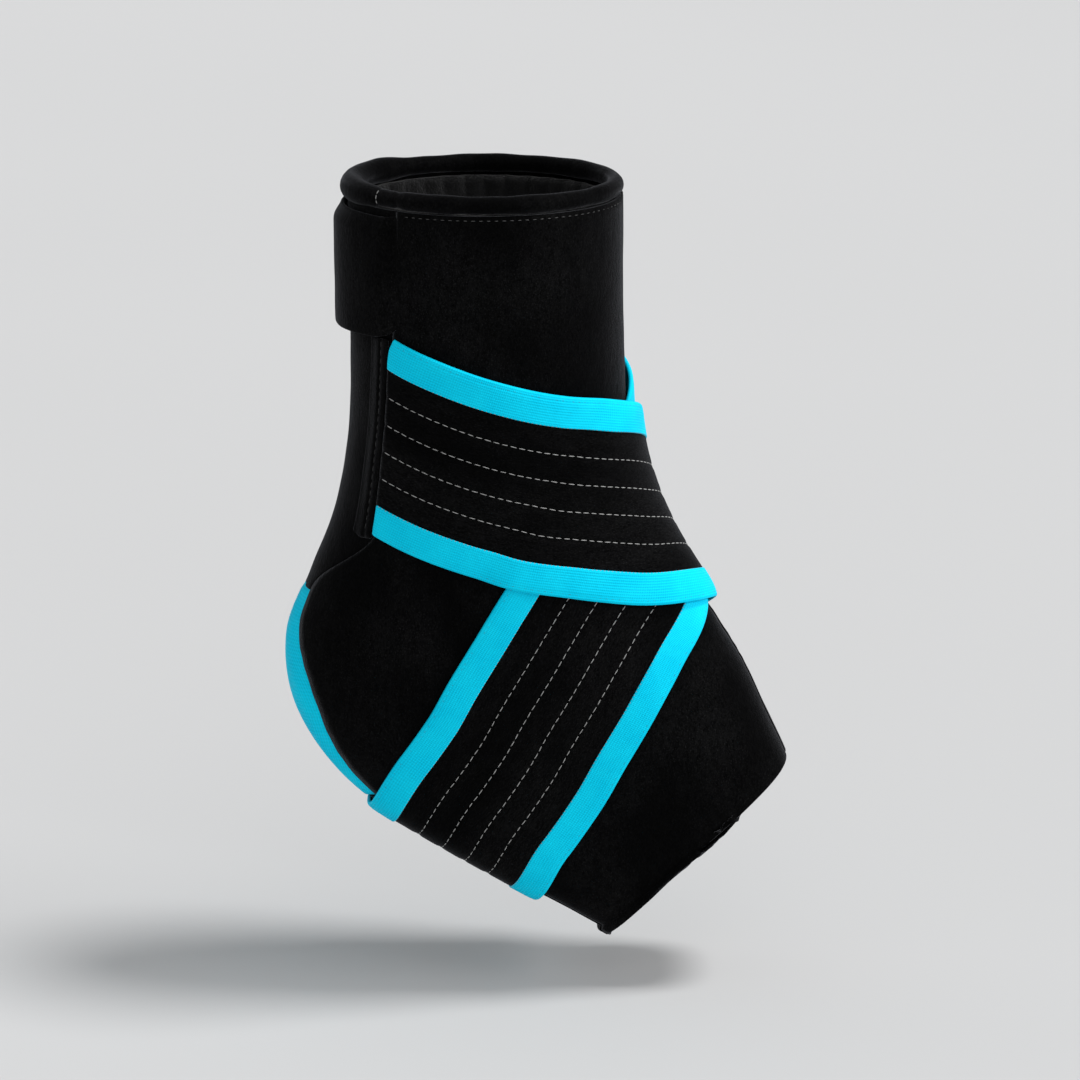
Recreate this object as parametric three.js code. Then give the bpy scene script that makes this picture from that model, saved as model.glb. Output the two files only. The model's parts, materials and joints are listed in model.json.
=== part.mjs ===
// Cold compression ankle wrap: a padded boot of loop-pile fabric with gel packs between
// its shell and its plush liner, a hook-and-loop collar flap, and one wide elastic strap
// with bright bindings that is wound round the ankle in a figure of eight.
//
// Millimetres, +Z up the leg, +X towards the toes, -Y the outer side of the ankle.
// The origin is the centre of the ankle. A place on the boot is given by three numbers:
// "along" runs over the stations from the collar (0) to the toe (11), "around" is an angle
// in degrees from the front (0) over the outer side (90) to the back or the sole (180),
// and "depth" is the distance outwards from the outer face of the shell.
import * as THREE from 'three';

// Overall sizes of the boot, measured from the ankle centre.
const LEG_HEIGHT = 166;
const SOLE_DROP = 139;
const FOOT_REACH = 124;
const HEEL_REACH = 77.5;
const CALF_WIDTH = 90;
const TOE_WIDTH = 50;

// Layers of the wall.
const SHELL_THICKNESS = 2;
const GEL_THICKNESS = 5;
const LINER_THICKNESS = 2.6;
const LAYER_GAP = 0.9;
const SEAM_GAP = 0.5;

// Collar roll, toe hem and heel band.
const ROLL_RADIUS = 3.2;
const ROLL_PROUD = 0.5;
const HEM_WIDTH = 3.5;
const HEM_THICKNESS = 3.4;
const HEM_PROUD = 0.6;
const HEEL_BAND_WIDTH = 46;
const HEEL_BAND_TAPER = 0.45;
const SOLE_TAPER = 0.72;
const HEEL_BAND_LIFT = 0.8;

// Strap with its two bindings.
const STRAP_WIDTH = 80;
const STRAP_THICKNESS = 2.2;
const BINDING_WIDTH = 13;
const BINDING_THICKNESS = 2.8;
const STRAP_CLEARANCE = 0.7;
const SOLE_STAND_OFF = 1.6;
const PLACKET_WIDTH = 12;
const PLACKET_THICKNESS = 2.4;

// Collar flap and the tab at the end of the strap.
const FLAP_TOP = 0.13;
const FLAP_BOTTOM = 1.2;
const FLAP_THICKNESS = 3.6;
const FLAP_CORNER = 9;
const FLAP_HOOK_LENGTH = 26;
const TAB_LENGTH = 48;
const TAB_WIDTH = 58;
const TAB_THICKNESS = 2.6;
const TAB_CORNER = 14;
const TAB_HOOK_LENGTH = 30;
const HOOK_THICKNESS = 1.3;
const HOOK_MARGIN = 5;

// Seams and ends, as angles around the boot and as stations along it. The step and the
// angle are what two panels keep between them at a seam.
const OUTER_HEM = 134.5;
const HEM_LEAN = 3.1;
const INNER_HEM = 225;
const FLAP_END = 134;
const FLAP_ROOT = 236;
const SHELL_TOP = 0.085;
const ANKLE_SEAM = 5.2;
const HEEL_BAND_END = 8.17;
const HEEL_BAND_SPREAD = [5.2, 7];
const SOLE_SPREAD = [8.6, 10];
const SHELL_END = 10;
const PLACKET_RANGE = [1.22, 4.2];
const SEAM_STEP = 0.02;
const SEAM_ANGLE = 0.5;

// Gel packs, which the inner side mirrors. The linings step outwards past their ends.
const GEL_PACKS = {
  leg: { along: [0.7, 4.9], around: [25, 135] },
  ankle: { along: [5.4, 7.8], around: [25, 150] },
};
const LINING_STEP = [7.9, 8.9];

// Centre lines of the strap, as [along, around]. The ankle strap runs from the placket on
// the outer side over the front and down the inner side to the sole. The instep strap goes
// on from there, up the outer side under the ankle strap and over the instep.
const WRAP_PATH = [
  [2.3, 154], [2.82, 121], [3.22, 90], [3.53, 62], [3.8, 37], [4.15, 16], [4.62, -3],
  [5.3, -23], [6.1, -40], [6.82, -57], [7.66, -90], [8.49, -130], [9.05, -160], [9.11, -186],
];
const CROSS_PATH = [
  [9.11, 186], [9.06, 161], [8.63, 141], [8.11, 115], [7.57, 85], [6.98, 60], [6.39, 45],
  [5.78, 34], [5.18, 23], [4.4, 8], [3.75, -12], [3.35, -34], [3.1, -58], [2.95, -84], [2.9, -112], [2.9, -140],
];
const STRAP_END = 0.8657;

// Angles over which a strap leaves the layer it lies in: off the sole's edge, and down
// from the upper layer on the outer side and on the inner side.
const SOLE_RAMP = [110, 145];
const OUTER_RAMP = [98, 128];
const INNER_RAMP = [85, 115];

// Longest side of the facets that each kind of part is made of.
const LEG_CELL = 12;
const FOOT_CELL = 7.5;
const LINING_CELL = 14;
const STRAP_CELL = 6;

// Steps of the calculations: along a walk over the skin, beside a place on a strip, and
// between two measured points. The search margin is in stations.
const PACE = 6;
const NUDGE = 0.004;
const STRIDE = 0.002;
const MEASURES = 24;
const HALVINGS = 30;
const SEARCH_MARGIN = 1;
const RING_REACH = 100;

// The boot's outline in side view. Each station gives the back and the front point of one
// cross section as shares of the overall sizes, its width as a share from calf (0) to
// toe (1), and how square its front half and its half towards the sole are (2 is an
// ellipse).
const STATIONS = [
  { back: [-0.665, 1.0], front: [0.455, 1.0], taper: 0, square: 2, sole: 2 },
  { back: [-0.658, 0.72], front: [0.46, 0.73], taper: 0, square: 2, sole: 2 },
  { back: [-0.658, 0.505], front: [0.465, 0.555], taper: 0.05, square: 2, sole: 2 },
  { back: [-0.687, 0.35], front: [0.48, 0.405], taper: 0.12, square: 2, sole: 2 },
  { back: [-0.755, 0.195], front: [0.525, 0.265], taper: 0.2, square: 2, sole: 2 },
  { back: [-0.878, 0.048], front: [0.597, 0.14], taper: 0.25, square: 2.05, sole: 2.05 },
  { back: [-1.0, -0.13], front: [0.694, 0.018], taper: 0.3, square: 2.1, sole: 2.1 },
  { back: [-0.948, -0.345], front: [0.79, -0.115], taper: 0.375, square: 2.25, sole: 2.4 },
  { back: [-0.677, -0.553], front: [0.867, -0.237], taper: 0.5, square: 2.45, sole: 3.2 },
  { back: [-0.206, -0.724], front: [0.931, -0.36], taper: 0.65, square: 2.7, sole: 4.2 },
  { back: [0.363, -0.983], front: [0.985, -0.465], taper: 0.97, square: 3.15, sole: 4.4 },
  { back: [0.395, -1.0], front: [1.0, -0.496], taper: 1, square: 3.2, sole: 4.4 },
];
const LAST_STATION = STATIONS.length - 1;

// Moving through the layers, from the shell's outer face inwards.
const GEL_TOP = -SHELL_THICKNESS - LAYER_GAP;
const GEL_BOTTOM = GEL_TOP - GEL_THICKNESS;
const LEG_LINER_TOP = GEL_BOTTOM - LAYER_GAP;
const TOE_LINER_TOP = -SHELL_THICKNESS - LAYER_GAP;
const LOWER_LAYER = STRAP_CLEARANCE;
const UPPER_LAYER = STRAP_CLEARANCE + BINDING_THICKNESS + STRAP_CLEARANCE;

const materials = {
  pile: { color: 0x0c0c0d, roughness: 0.95, metalness: 0 },
  plush: { color: 0x19191b, roughness: 1, metalness: 0 },
  binding: { color: 0x00c3e6, roughness: 0.6, metalness: 0 },
  gel: { color: 0x6fb7d6, roughness: 0.3, metalness: 0 },
  hook: { color: 0x111114, roughness: 0.8, metalness: 0 },
};

const wrap = new THREE.Group();

function sizedPoint([x, z]) {
  return [x * (x < 0 ? HEEL_REACH : FOOT_REACH), z * (z > 0 ? LEG_HEIGHT : SOLE_DROP)];
}

const stationRows = STATIONS.map(({ back, front, taper, square, sole }) => {
  const halfWidth = THREE.MathUtils.lerp(CALF_WIDTH / 2, TOE_WIDTH / 2, taper);
  return [...sizedPoint(back), ...sizedPoint(front), halfWidth, square, sole];
});

// Catmull-Rom interpolation through rows of numbers, straight on past both ends.
function splineRow(rows, position) {
  const last = rows.length - 1;
  const index = Math.min(Math.max(Math.floor(position), 0), last - 1);
  const t = position - index;
  const here = rows[index];
  const next = rows[index + 1];
  return here.map((value, column) => {
    const before = index > 0 ? rows[index - 1][column] : 2 * value - next[column];
    const after = index + 2 <= last ? rows[index + 2][column] : 2 * next[column] - value;
    const slope = (next[column] - before) / 2;
    const nextSlope = (after - value) / 2;
    const rise = next[column] - value;
    return value + t * slope + t * t * (3 * rise - 2 * slope - nextSlope)
      + t * t * t * (slope + nextSlope - 2 * rise);
  });
}

// One cross section: its centre, its axis from back to front, and its half sizes.
function section(along) {
  const [backX, backZ, frontX, frontZ, halfWidth, square, sole] = splineRow(stationRows, along);
  const axis = new THREE.Vector3(frontX - backX, 0, frontZ - backZ);
  const halfDepth = axis.length() / 2;
  axis.normalize();
  const centre = new THREE.Vector3((frontX + backX) / 2, 0, (frontZ + backZ) / 2);
  return { centre, axis, halfDepth, halfWidth, square, sole };
}

function skinPoint(along, around) {
  const { centre, axis, halfDepth, halfWidth, square, sole } = section(along);
  const angle = THREE.MathUtils.degToRad(around);
  const forward = Math.cos(angle);
  const outward = Math.sin(angle);
  const power = forward < 0 ? sole : square;
  const radius = (Math.abs(forward / halfDepth) ** power
    + Math.abs(outward / halfWidth) ** power) ** (-1 / power);
  return centre.addScaledVector(axis, radius * forward)
    .add(new THREE.Vector3(0, -radius * outward, 0));
}

function skinNormal(along, around) {
  const step = 0.01;
  const down = skinPoint(along + step, around).sub(skinPoint(along - step, around));
  const round = skinPoint(along, around + step).sub(skinPoint(along, around - step));
  return round.cross(down).normalize();
}

function surfacePoint(along, around, depth) {
  return skinPoint(along, around).addScaledVector(skinNormal(along, around), depth);
}

// The place on the boot nearest to a point, found in the section that the point lies in.
function locate(point) {
  let low = -SEARCH_MARGIN;
  let high = LAST_STATION + SEARCH_MARGIN;
  for (let step = 0; step < HALVINGS; step += 1) {
    const middle = (low + high) / 2;
    const { centre, axis } = section(middle);
    const away = point.clone().sub(centre);
    const ahead = away.x * axis.z - away.z * axis.x;
    if (ahead > 0) low = middle;
    else high = middle;
  }
  const along = (low + high) / 2;
  const { centre, axis } = section(along);
  const forward = point.clone().sub(centre).dot(axis);
  const around = THREE.MathUtils.radToDeg(Math.atan2(-point.y, forward));
  return { along, around };
}

function addMesh(name, geometry, material, parent = wrap) {
  const mesh = new THREE.Mesh(geometry, new THREE.MeshStandardMaterial(materials[material]));
  mesh.name = name;
  parent.add(mesh);
  return mesh;
}

// Moves every vertex of a geometry through a function of its own place.
function reshape(geometry, place) {
  const positions = geometry.getAttribute('position');
  const vertex = new THREE.Vector3();
  for (let index = 0; index < positions.count; index += 1) {
    vertex.fromBufferAttribute(positions, index);
    positions.setXYZ(index, ...place(vertex).toArray());
  }
  geometry.computeVertexNormals();
  return geometry;
}

const valueAt = (value, position) => (typeof value === 'function' ? value(position) : value);

// How many cells it takes to cover a line over the skin, given as places from 0 to 1.
function cellsOver(placeAt, cell) {
  let length = 0;
  let before = skinPoint(...placeAt(0));
  for (let step = 1; step <= MEASURES; step += 1) {
    const here = skinPoint(...placeAt(step / MEASURES));
    length += here.distanceTo(before);
    before = here;
  }
  return Math.ceil(length / cell);
}

// A sewn panel: a sheet between two stations, two angles and two depths. The angles and
// the depths may be functions of the place along the boot.
function addPanel(name, { along, around, depth, cell, material }) {
  const angleAt = (station, share) => (
    THREE.MathUtils.lerp(valueAt(around[0], station), valueAt(around[1], station), share)
  );
  const stationAt = (share) => THREE.MathUtils.lerp(along[0], along[1], share);
  const rows = cellsOver((share) => [stationAt(share), angleAt(stationAt(share), 0.5)], cell);
  const columns = cellsOver((share) => [stationAt(0.5), angleAt(stationAt(0.5), share)], cell);
  const sheet = new THREE.BoxGeometry(1, 1, 1, columns, rows, 1);
  const geometry = reshape(sheet, (vertex) => {
    const station = stationAt(vertex.y + 0.5);
    const angle = angleAt(station, vertex.x + 0.5);
    const inner = valueAt(depth[0], station);
    const outer = valueAt(depth[1], station);
    return surfacePoint(station, angle, THREE.MathUtils.lerp(inner, outer, vertex.z + 0.5));
  });
  return addMesh(name, geometry, material);
}

// A closed ring round the boot, from a profile of [along the boot in mm, depth] points.
function addRing(name, station, profile, segments, material) {
  const closed = [...profile, profile[0]];
  const outline = closed.map(([down, out]) => new THREE.Vector2(out + RING_REACH, down));
  outline.reverse();
  const ring = new THREE.LatheGeometry(outline, segments);
  const geometry = reshape(ring, (vertex) => {
    const angle = THREE.MathUtils.radToDeg(Math.atan2(vertex.x, vertex.z));
    const out = Math.hypot(vertex.x, vertex.z) - RING_REACH;
    const { axis } = section(station);
    const down = new THREE.Vector3(axis.z, 0, -axis.x);
    return surfacePoint(station, angle, out).addScaledVector(down, vertex.y);
  });
  return addMesh(name, geometry, material);
}

// The degrees that a length across the back of the boot takes up at a station.
function degreesFor(length, station) {
  const { halfDepth } = section(station);
  return THREE.MathUtils.radToDeg(length / halfDepth);
}

// The edge of the heel band, and of the sole panel in line with it. It comes in to a
// narrow end at the ankle seam, and a little at the toe.
function heelEdge(station) {
  const spread = THREE.MathUtils.smoothstep(station, ...HEEL_BAND_SPREAD);
  const narrowing = THREE.MathUtils.smoothstep(station, ...SOLE_SPREAD);
  const share = THREE.MathUtils.lerp(HEEL_BAND_TAPER, 1, spread)
    * THREE.MathUtils.lerp(1, SOLE_TAPER, narrowing);
  return 180 - degreesFor((HEEL_BAND_WIDTH / 2) * share, station);
}

// The hem down the outer side, which leans back a little towards the heel.
function outerHem(station) {
  return OUTER_HEM + HEM_LEAN * station;
}

// How far a rounded corner draws an edge in, at a distance from the edge beside it.
function cornerInset(radius, distance) {
  const rise = radius - Math.min(distance, radius);
  return radius - Math.sqrt(radius * radius - rise * rise);
}

// Shell: outer and inner side over the leg, one panel down the back, and the foot.
function addShell() {
  const legRange = [SHELL_TOP, ANKLE_SEAM];
  const footRange = [ANKLE_SEAM + SEAM_STEP, SHELL_END];
  const depth = [-SHELL_THICKNESS, 0];
  const leg = { along: legRange, depth, cell: LEG_CELL, material: 'pile' };
  const foot = { along: footRange, depth, cell: FOOT_CELL, material: 'pile' };
  const innerHeelEdge = (station) => 360 - heelEdge(station);
  const legSide = [SEAM_ANGLE, (station) => outerHem(station) - SEAM_ANGLE];
  const footSide = [SEAM_ANGLE, (station) => heelEdge(station) - SEAM_ANGLE];
  addPanel('outer_leg_shell', { ...leg, around: legSide });
  addPanel('inner_leg_shell', { ...leg, around: [INNER_HEM + SEAM_ANGLE, 360 - SEAM_ANGLE] });
  addPanel('back_leg_panel', { ...leg, around: [outerHem, INNER_HEM] });
  addPanel('outer_foot_shell', { ...foot, around: footSide });
  addPanel('inner_foot_shell', {
    ...foot, around: [(station) => innerHeelEdge(station) + SEAM_ANGLE, 360 - SEAM_ANGLE],
  });
  addPanel('heel_band', {
    ...foot, along: [footRange[0], HEEL_BAND_END], around: [heelEdge, innerHeelEdge],
    depth: [-SHELL_THICKNESS, HEEL_BAND_LIFT], material: 'binding',
  });
  addPanel('sole_panel', {
    ...foot, along: [HEEL_BAND_END + SEAM_STEP, SHELL_END], around: [heelEdge, innerHeelEdge],
  });
}

// The padded roll round the collar, and the stitched hem round the toe opening.
function addEdges() {
  const rollSides = 8;
  const rollCentre = ROLL_PROUD - ROLL_RADIUS;
  const roll = Array.from({ length: rollSides }, (_, side) => {
    const angle = (side / rollSides) * Math.PI * 2;
    return [Math.cos(angle) * ROLL_RADIUS, rollCentre + Math.sin(angle) * ROLL_RADIUS];
  });
  const hemInner = HEM_PROUD - HEM_THICKNESS;
  const hem = [[-HEM_WIDTH, hemInner], [0, hemInner], [0, HEM_PROUD], [-HEM_WIDTH, HEM_PROUD]];
  const segments = cellsOver((share) => [0, share * 360], FOOT_CELL);
  addRing('collar_roll', 0, roll, segments, 'pile');
  addRing('toe_hem', LAST_STATION, hem, segments, 'pile');
}

// Linings, which step outwards from the leg to the foot, where there are no gel packs.
function linerTop(station) {
  const share = THREE.MathUtils.smoothstep(station, ...LINING_STEP);
  return THREE.MathUtils.lerp(LEG_LINER_TOP, TOE_LINER_TOP, share);
}

function linerBottom(station) {
  return linerTop(station) - LINER_THICKNESS;
}

function addLinings() {
  const sides = {
    outer: [SEAM_ANGLE, 180 - SEAM_ANGLE],
    inner: [180 + SEAM_ANGLE, 360 - SEAM_ANGLE],
  };
  const ranges = { leg: [SHELL_TOP, ANKLE_SEAM], foot: [ANKLE_SEAM + SEAM_STEP, SHELL_END] };
  Object.entries(sides).forEach(([side, around]) => {
    Object.entries(ranges).forEach(([region, along]) => {
      addPanel(`${side}_${region}_liner`, {
        along, around, depth: [linerBottom, linerTop], cell: LINING_CELL, material: 'plush',
      });
    });
  });
}

function addGelPacks() {
  Object.entries(GEL_PACKS).forEach(([region, { along, around }]) => {
    const mirrored = [360 - around[1], 360 - around[0]];
    const pack = { along, depth: [GEL_BOTTOM, GEL_TOP], cell: LINING_CELL, material: 'gel' };
    addPanel(`outer_${region}_gel`, { ...pack, around });
    addPanel(`inner_${region}_gel`, { ...pack, around: mirrored });
  });
}

// Walks a distance over the boot's skin from a place, starting in a given direction.
function walk(place, direction, distance) {
  const paces = Math.max(1, Math.ceil(Math.abs(distance) / PACE));
  const heading = direction.clone();
  let here = place;
  for (let pace = 0; pace < paces; pace += 1) {
    const normal = skinNormal(here.along, here.around);
    heading.addScaledVector(normal, -heading.dot(normal)).normalize();
    const next = skinPoint(here.along, here.around).addScaledVector(heading, distance / paces);
    here = locate(next);
  }
  return here;
}

// A strip laid on the boot along a centre line of [along, around] points. A place on the
// strip is a share of its length and a distance across it, square to the centre line.
function makeStrip(path) {
  const places = new Map();
  const knots = path.map(([along, around]) => skinPoint(along, around).toArray());
  const spot = (share) => locate(new THREE.Vector3(...splineRow(knots, share * (path.length - 1))));
  return (share, across) => {
    const key = `${share.toFixed(5)} ${across.toFixed(3)}`;
    if (!places.has(key)) {
      const here = spot(share);
      const [behind, ahead] = [spot(share - NUDGE), spot(share + NUDGE)];
      const forward = skinPoint(ahead.along, ahead.around).sub(skinPoint(behind.along, behind.around));
      const sideways = skinNormal(here.along, here.around).cross(forward).normalize();
      places.set(key, walk(here, sideways, across));
    }
    return places.get(key);
  };
}

// One length of tape on a strip, between two shares of its length, two distances across it
// and two depths. The cross and depth limits may be functions of the share of the length.
function addTape(name, strip, { length, across, depth, material }) {
  const levelAt = (share, rise) => (
    THREE.MathUtils.lerp(valueAt(across[0], share), valueAt(across[1], share), rise)
  );
  const shareAt = (level, run) => (
    THREE.MathUtils.lerp(valueAt(length[0], level), valueAt(length[1], level), run)
  );
  const placeAt = (share, level) => {
    const { along, around } = strip(share, level);
    return [along, around];
  };
  const middle = shareAt(0, 0.5);
  const columns = cellsOver((run) => placeAt(shareAt(0, run), 0), STRAP_CELL);
  const rows = Math.ceil((levelAt(middle, 1) - levelAt(middle, 0)) / STRAP_CELL);
  const sheet = new THREE.BoxGeometry(1, 1, 1, columns, rows, 1);
  const geometry = reshape(sheet, (vertex) => {
    const share = shareAt(levelAt(0, vertex.y + 0.5), vertex.x + 0.5);
    const { along, around } = strip(share, levelAt(share, vertex.y + 0.5));
    const inner = valueAt(depth[0], share);
    const outer = valueAt(depth[1], share);
    return surfacePoint(along, around, THREE.MathUtils.lerp(inner, outer, vertex.z + 0.5));
  });
  return addMesh(name, geometry, material);
}

// The share of a strip's length that lies a distance beyond another share.
function shareBeyond(strip, start, distance) {
  const pointAt = (share) => {
    const { along, around } = strip(share, 0);
    return skinPoint(along, around);
  };
  let share = start;
  let travelled = 0;
  while (travelled < distance) {
    travelled += pointAt(share).distanceTo(pointAt(share + STRIDE));
    share += STRIDE;
  }
  return share;
}

// The web of a strap and the binding along each of its two edges.
function addStrap(name, strip, { length, lift }) {
  const edge = STRAP_WIDTH / 2;
  const webEdge = edge - BINDING_WIDTH - SEAM_GAP;
  const layer = (thickness) => [lift, (share) => lift(share) + thickness];
  addTape(`${name}_web`, strip, {
    length, across: [-webEdge, webEdge], depth: layer(STRAP_THICKNESS), material: 'pile',
  });
  const bindings = { upper: [edge - BINDING_WIDTH, edge], lower: [-edge, BINDING_WIDTH - edge] };
  Object.entries(bindings).forEach(([side, across]) => {
    addTape(`${name}_${side}_binding`, strip, {
      length, across, depth: layer(BINDING_THICKNESS), material: 'binding',
    });
  });
}

// The share of a strip's length at which a test of its place stops being true.
function cutShare(strip, across, [kept, lost], test) {
  let inside = kept;
  let outside = lost;
  for (let step = 0; step < HALVINGS; step += 1) {
    const middle = (inside + outside) / 2;
    const place = strip(middle, across);
    if (test(place, skinPoint(place.along, place.around))) inside = middle;
    else outside = middle;
  }
  return inside;
}

// How far a strap of the lower layer lies off the shell: close to it on the leg, and a
// little further off where it is pulled round the edges of the sole.
function lowerLift(strip) {
  return (share) => {
    const { along, around } = strip(share, 0);
    if (along < ANKLE_SEAM) return LOWER_LAYER;
    return LOWER_LAYER + SOLE_STAND_OFF * THREE.MathUtils.smoothstep(Math.abs(around), ...SOLE_RAMP);
  };
}

// A strap of the upper layer passes over the other strap at the sides and the front.
function upperLift(strip) {
  const low = lowerLift(strip);
  return (share) => {
    const { around } = strip(share, 0);
    const ramp = around > 0 ? OUTER_RAMP : INNER_RAMP;
    const lowered = THREE.MathUtils.smoothstep(Math.abs(around), ...ramp);
    return THREE.MathUtils.lerp(UPPER_LAYER, low(share), lowered);
  };
}

// Both straps, which meet under the middle of the sole, and the placket on the outer side
// that the first one is sewn under.
function addStraps() {
  const wrapStrip = makeStrip(WRAP_PATH);
  const crossStrip = makeStrip(CROSS_PATH);
  const pastPlacket = ({ along, around }) => around < outerHem(along) - SEAM_ANGLE;
  const onInnerSide = (place, { y }) => y > SEAM_GAP;
  const onOuterSide = (place, { y }) => y < -SEAM_GAP;
  const wrapStart = (across) => cutShare(wrapStrip, across, [0.2, 0], pastPlacket);
  const wrapEnd = (across) => cutShare(wrapStrip, across, [0.85, 1], onInnerSide);
  const crossStart = (across) => cutShare(crossStrip, across, [0.15, 0], onOuterSide);
  addStrap('ankle_strap', wrapStrip, { length: [wrapStart, wrapEnd], lift: upperLift(wrapStrip) });
  addStrap('instep_strap', crossStrip, { length: [crossStart, STRAP_END], lift: lowerLift(crossStrip) });
  addPanel('strap_anchor_placket', {
    along: PLACKET_RANGE,
    around: [outerHem, (station) => outerHem(station) + degreesFor(PLACKET_WIDTH, station)],
    depth: [LOWER_LAYER, LOWER_LAYER + PLACKET_THICKNESS],
    cell: LEG_CELL,
    material: 'pile',
  });
}

// The tab at the end of the strap, and its hook pad that grips the loop pile of the shell.
function addTab() {
  const strip = makeStrip(CROSS_PATH);
  const root = shareBeyond(strip, STRAP_END, SEAM_GAP);
  const tip = shareBeyond(strip, root, TAB_LENGTH);
  const perShare = TAB_LENGTH / (tip - root);
  const halfWidth = (share) => TAB_WIDTH / 2 - cornerInset(TAB_CORNER, (tip - share) * perShare);
  const tabInner = LOWER_LAYER + HOOK_THICKNESS + SEAM_GAP;
  addTape('strap_end_tab', strip, {
    length: [root, tip], across: [(share) => -halfWidth(share), halfWidth],
    depth: [tabInner, tabInner + TAB_THICKNESS], material: 'pile',
  });
  const hookEnd = shareBeyond(strip, root, TAB_LENGTH - HOOK_MARGIN);
  const hookStart = shareBeyond(strip, root, TAB_LENGTH - HOOK_MARGIN - TAB_HOOK_LENGTH);
  const hookWidth = TAB_WIDTH / 2 - HOOK_MARGIN - TAB_CORNER / 2;
  addTape('strap_end_hook_pad', strip, {
    length: [hookStart, hookEnd], across: [-hookWidth, hookWidth],
    depth: [LOWER_LAYER, LOWER_LAYER + HOOK_THICKNESS], material: 'hook',
  });
}

// The collar flap, rooted on the inner side, which wraps the back of the leg.
function addFlap() {
  const inner = LOWER_LAYER + HOOK_THICKNESS + SEAM_GAP;
  const legStep = skinPoint(0, 180).distanceTo(skinPoint(1, 180));
  const freeEnd = (station) => {
    const inset = cornerInset(FLAP_CORNER, (FLAP_BOTTOM - station) * legStep);
    return FLAP_END + degreesFor(inset, station);
  };
  addPanel('collar_flap', {
    along: [FLAP_TOP, FLAP_BOTTOM], around: [freeEnd, FLAP_ROOT],
    depth: [inner, inner + FLAP_THICKNESS], cell: LEG_CELL, material: 'pile',
  });
  const margin = HOOK_MARGIN / legStep;
  const hookStart = FLAP_END + degreesFor(HOOK_MARGIN, 0);
  addPanel('collar_flap_hook_pad', {
    along: [FLAP_TOP + margin, FLAP_BOTTOM - margin],
    around: [hookStart, hookStart + degreesFor(FLAP_HOOK_LENGTH, 0)],
    depth: [LOWER_LAYER, LOWER_LAYER + HOOK_THICKNESS], cell: LEG_CELL, material: 'hook',
  });
}

addShell();
addEdges();
addLinings();
addGelPacks();
addStraps();
addTab();
addFlap();

export default wrap;
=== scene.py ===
"""Cold compression ankle wrap: a padded boot of loop-pile fabric with gel packs inside, a
collar flap, and one wide strap with bright bindings wound round it in a figure of eight.

Metres, +Z up the leg, +X towards the toes, -Y the outer side, origin at the ankle centre.
A place on the boot is a station "along" it, from the collar (0) to the toe (11), and an
angle "around" it, from the front (0) over the outer side (90) to the back or sole (180).
"""

import json
import math

import bmesh
import bpy
import numpy as np
from bpy.props import FloatProperty, FloatVectorProperty, IntProperty, PointerProperty
from mathutils import Matrix, Vector, noise

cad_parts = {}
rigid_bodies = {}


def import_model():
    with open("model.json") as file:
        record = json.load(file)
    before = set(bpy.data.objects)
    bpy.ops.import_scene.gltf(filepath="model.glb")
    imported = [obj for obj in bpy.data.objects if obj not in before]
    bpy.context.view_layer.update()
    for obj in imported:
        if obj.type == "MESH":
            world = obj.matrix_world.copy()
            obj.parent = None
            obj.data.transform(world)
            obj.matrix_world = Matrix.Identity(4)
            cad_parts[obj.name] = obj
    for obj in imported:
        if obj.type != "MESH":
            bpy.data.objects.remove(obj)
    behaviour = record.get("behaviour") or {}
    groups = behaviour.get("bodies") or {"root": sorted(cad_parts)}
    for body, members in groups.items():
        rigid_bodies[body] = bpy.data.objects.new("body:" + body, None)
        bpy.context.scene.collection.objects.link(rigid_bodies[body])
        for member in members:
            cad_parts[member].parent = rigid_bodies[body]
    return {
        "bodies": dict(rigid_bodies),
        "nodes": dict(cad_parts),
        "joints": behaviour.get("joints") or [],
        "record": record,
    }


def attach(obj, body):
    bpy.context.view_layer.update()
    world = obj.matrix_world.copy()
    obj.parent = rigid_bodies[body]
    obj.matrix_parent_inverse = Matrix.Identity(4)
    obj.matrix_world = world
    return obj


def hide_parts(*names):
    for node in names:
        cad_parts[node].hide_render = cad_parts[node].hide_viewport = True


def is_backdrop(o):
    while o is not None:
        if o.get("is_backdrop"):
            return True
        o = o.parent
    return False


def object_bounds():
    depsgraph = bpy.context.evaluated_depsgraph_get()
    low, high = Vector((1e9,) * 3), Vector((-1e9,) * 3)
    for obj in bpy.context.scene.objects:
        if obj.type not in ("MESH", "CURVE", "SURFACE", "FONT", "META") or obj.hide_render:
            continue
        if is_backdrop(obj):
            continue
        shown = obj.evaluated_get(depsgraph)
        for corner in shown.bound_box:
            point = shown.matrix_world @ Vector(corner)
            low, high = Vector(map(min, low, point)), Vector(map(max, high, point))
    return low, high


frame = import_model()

bl_info = {
    "name": "Cold Compression Ankle Wrap",
    "version": (1, 0, 0),
    "blender": (4, 5, 0),
    "location": "3D View > Sidebar > Ankle Wrap",
    "description": "Builds a padded ankle wrap with its strap and closures around its frame",
    "category": "Add Mesh",
}

FRAME_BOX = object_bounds()
MM = 0.001

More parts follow.
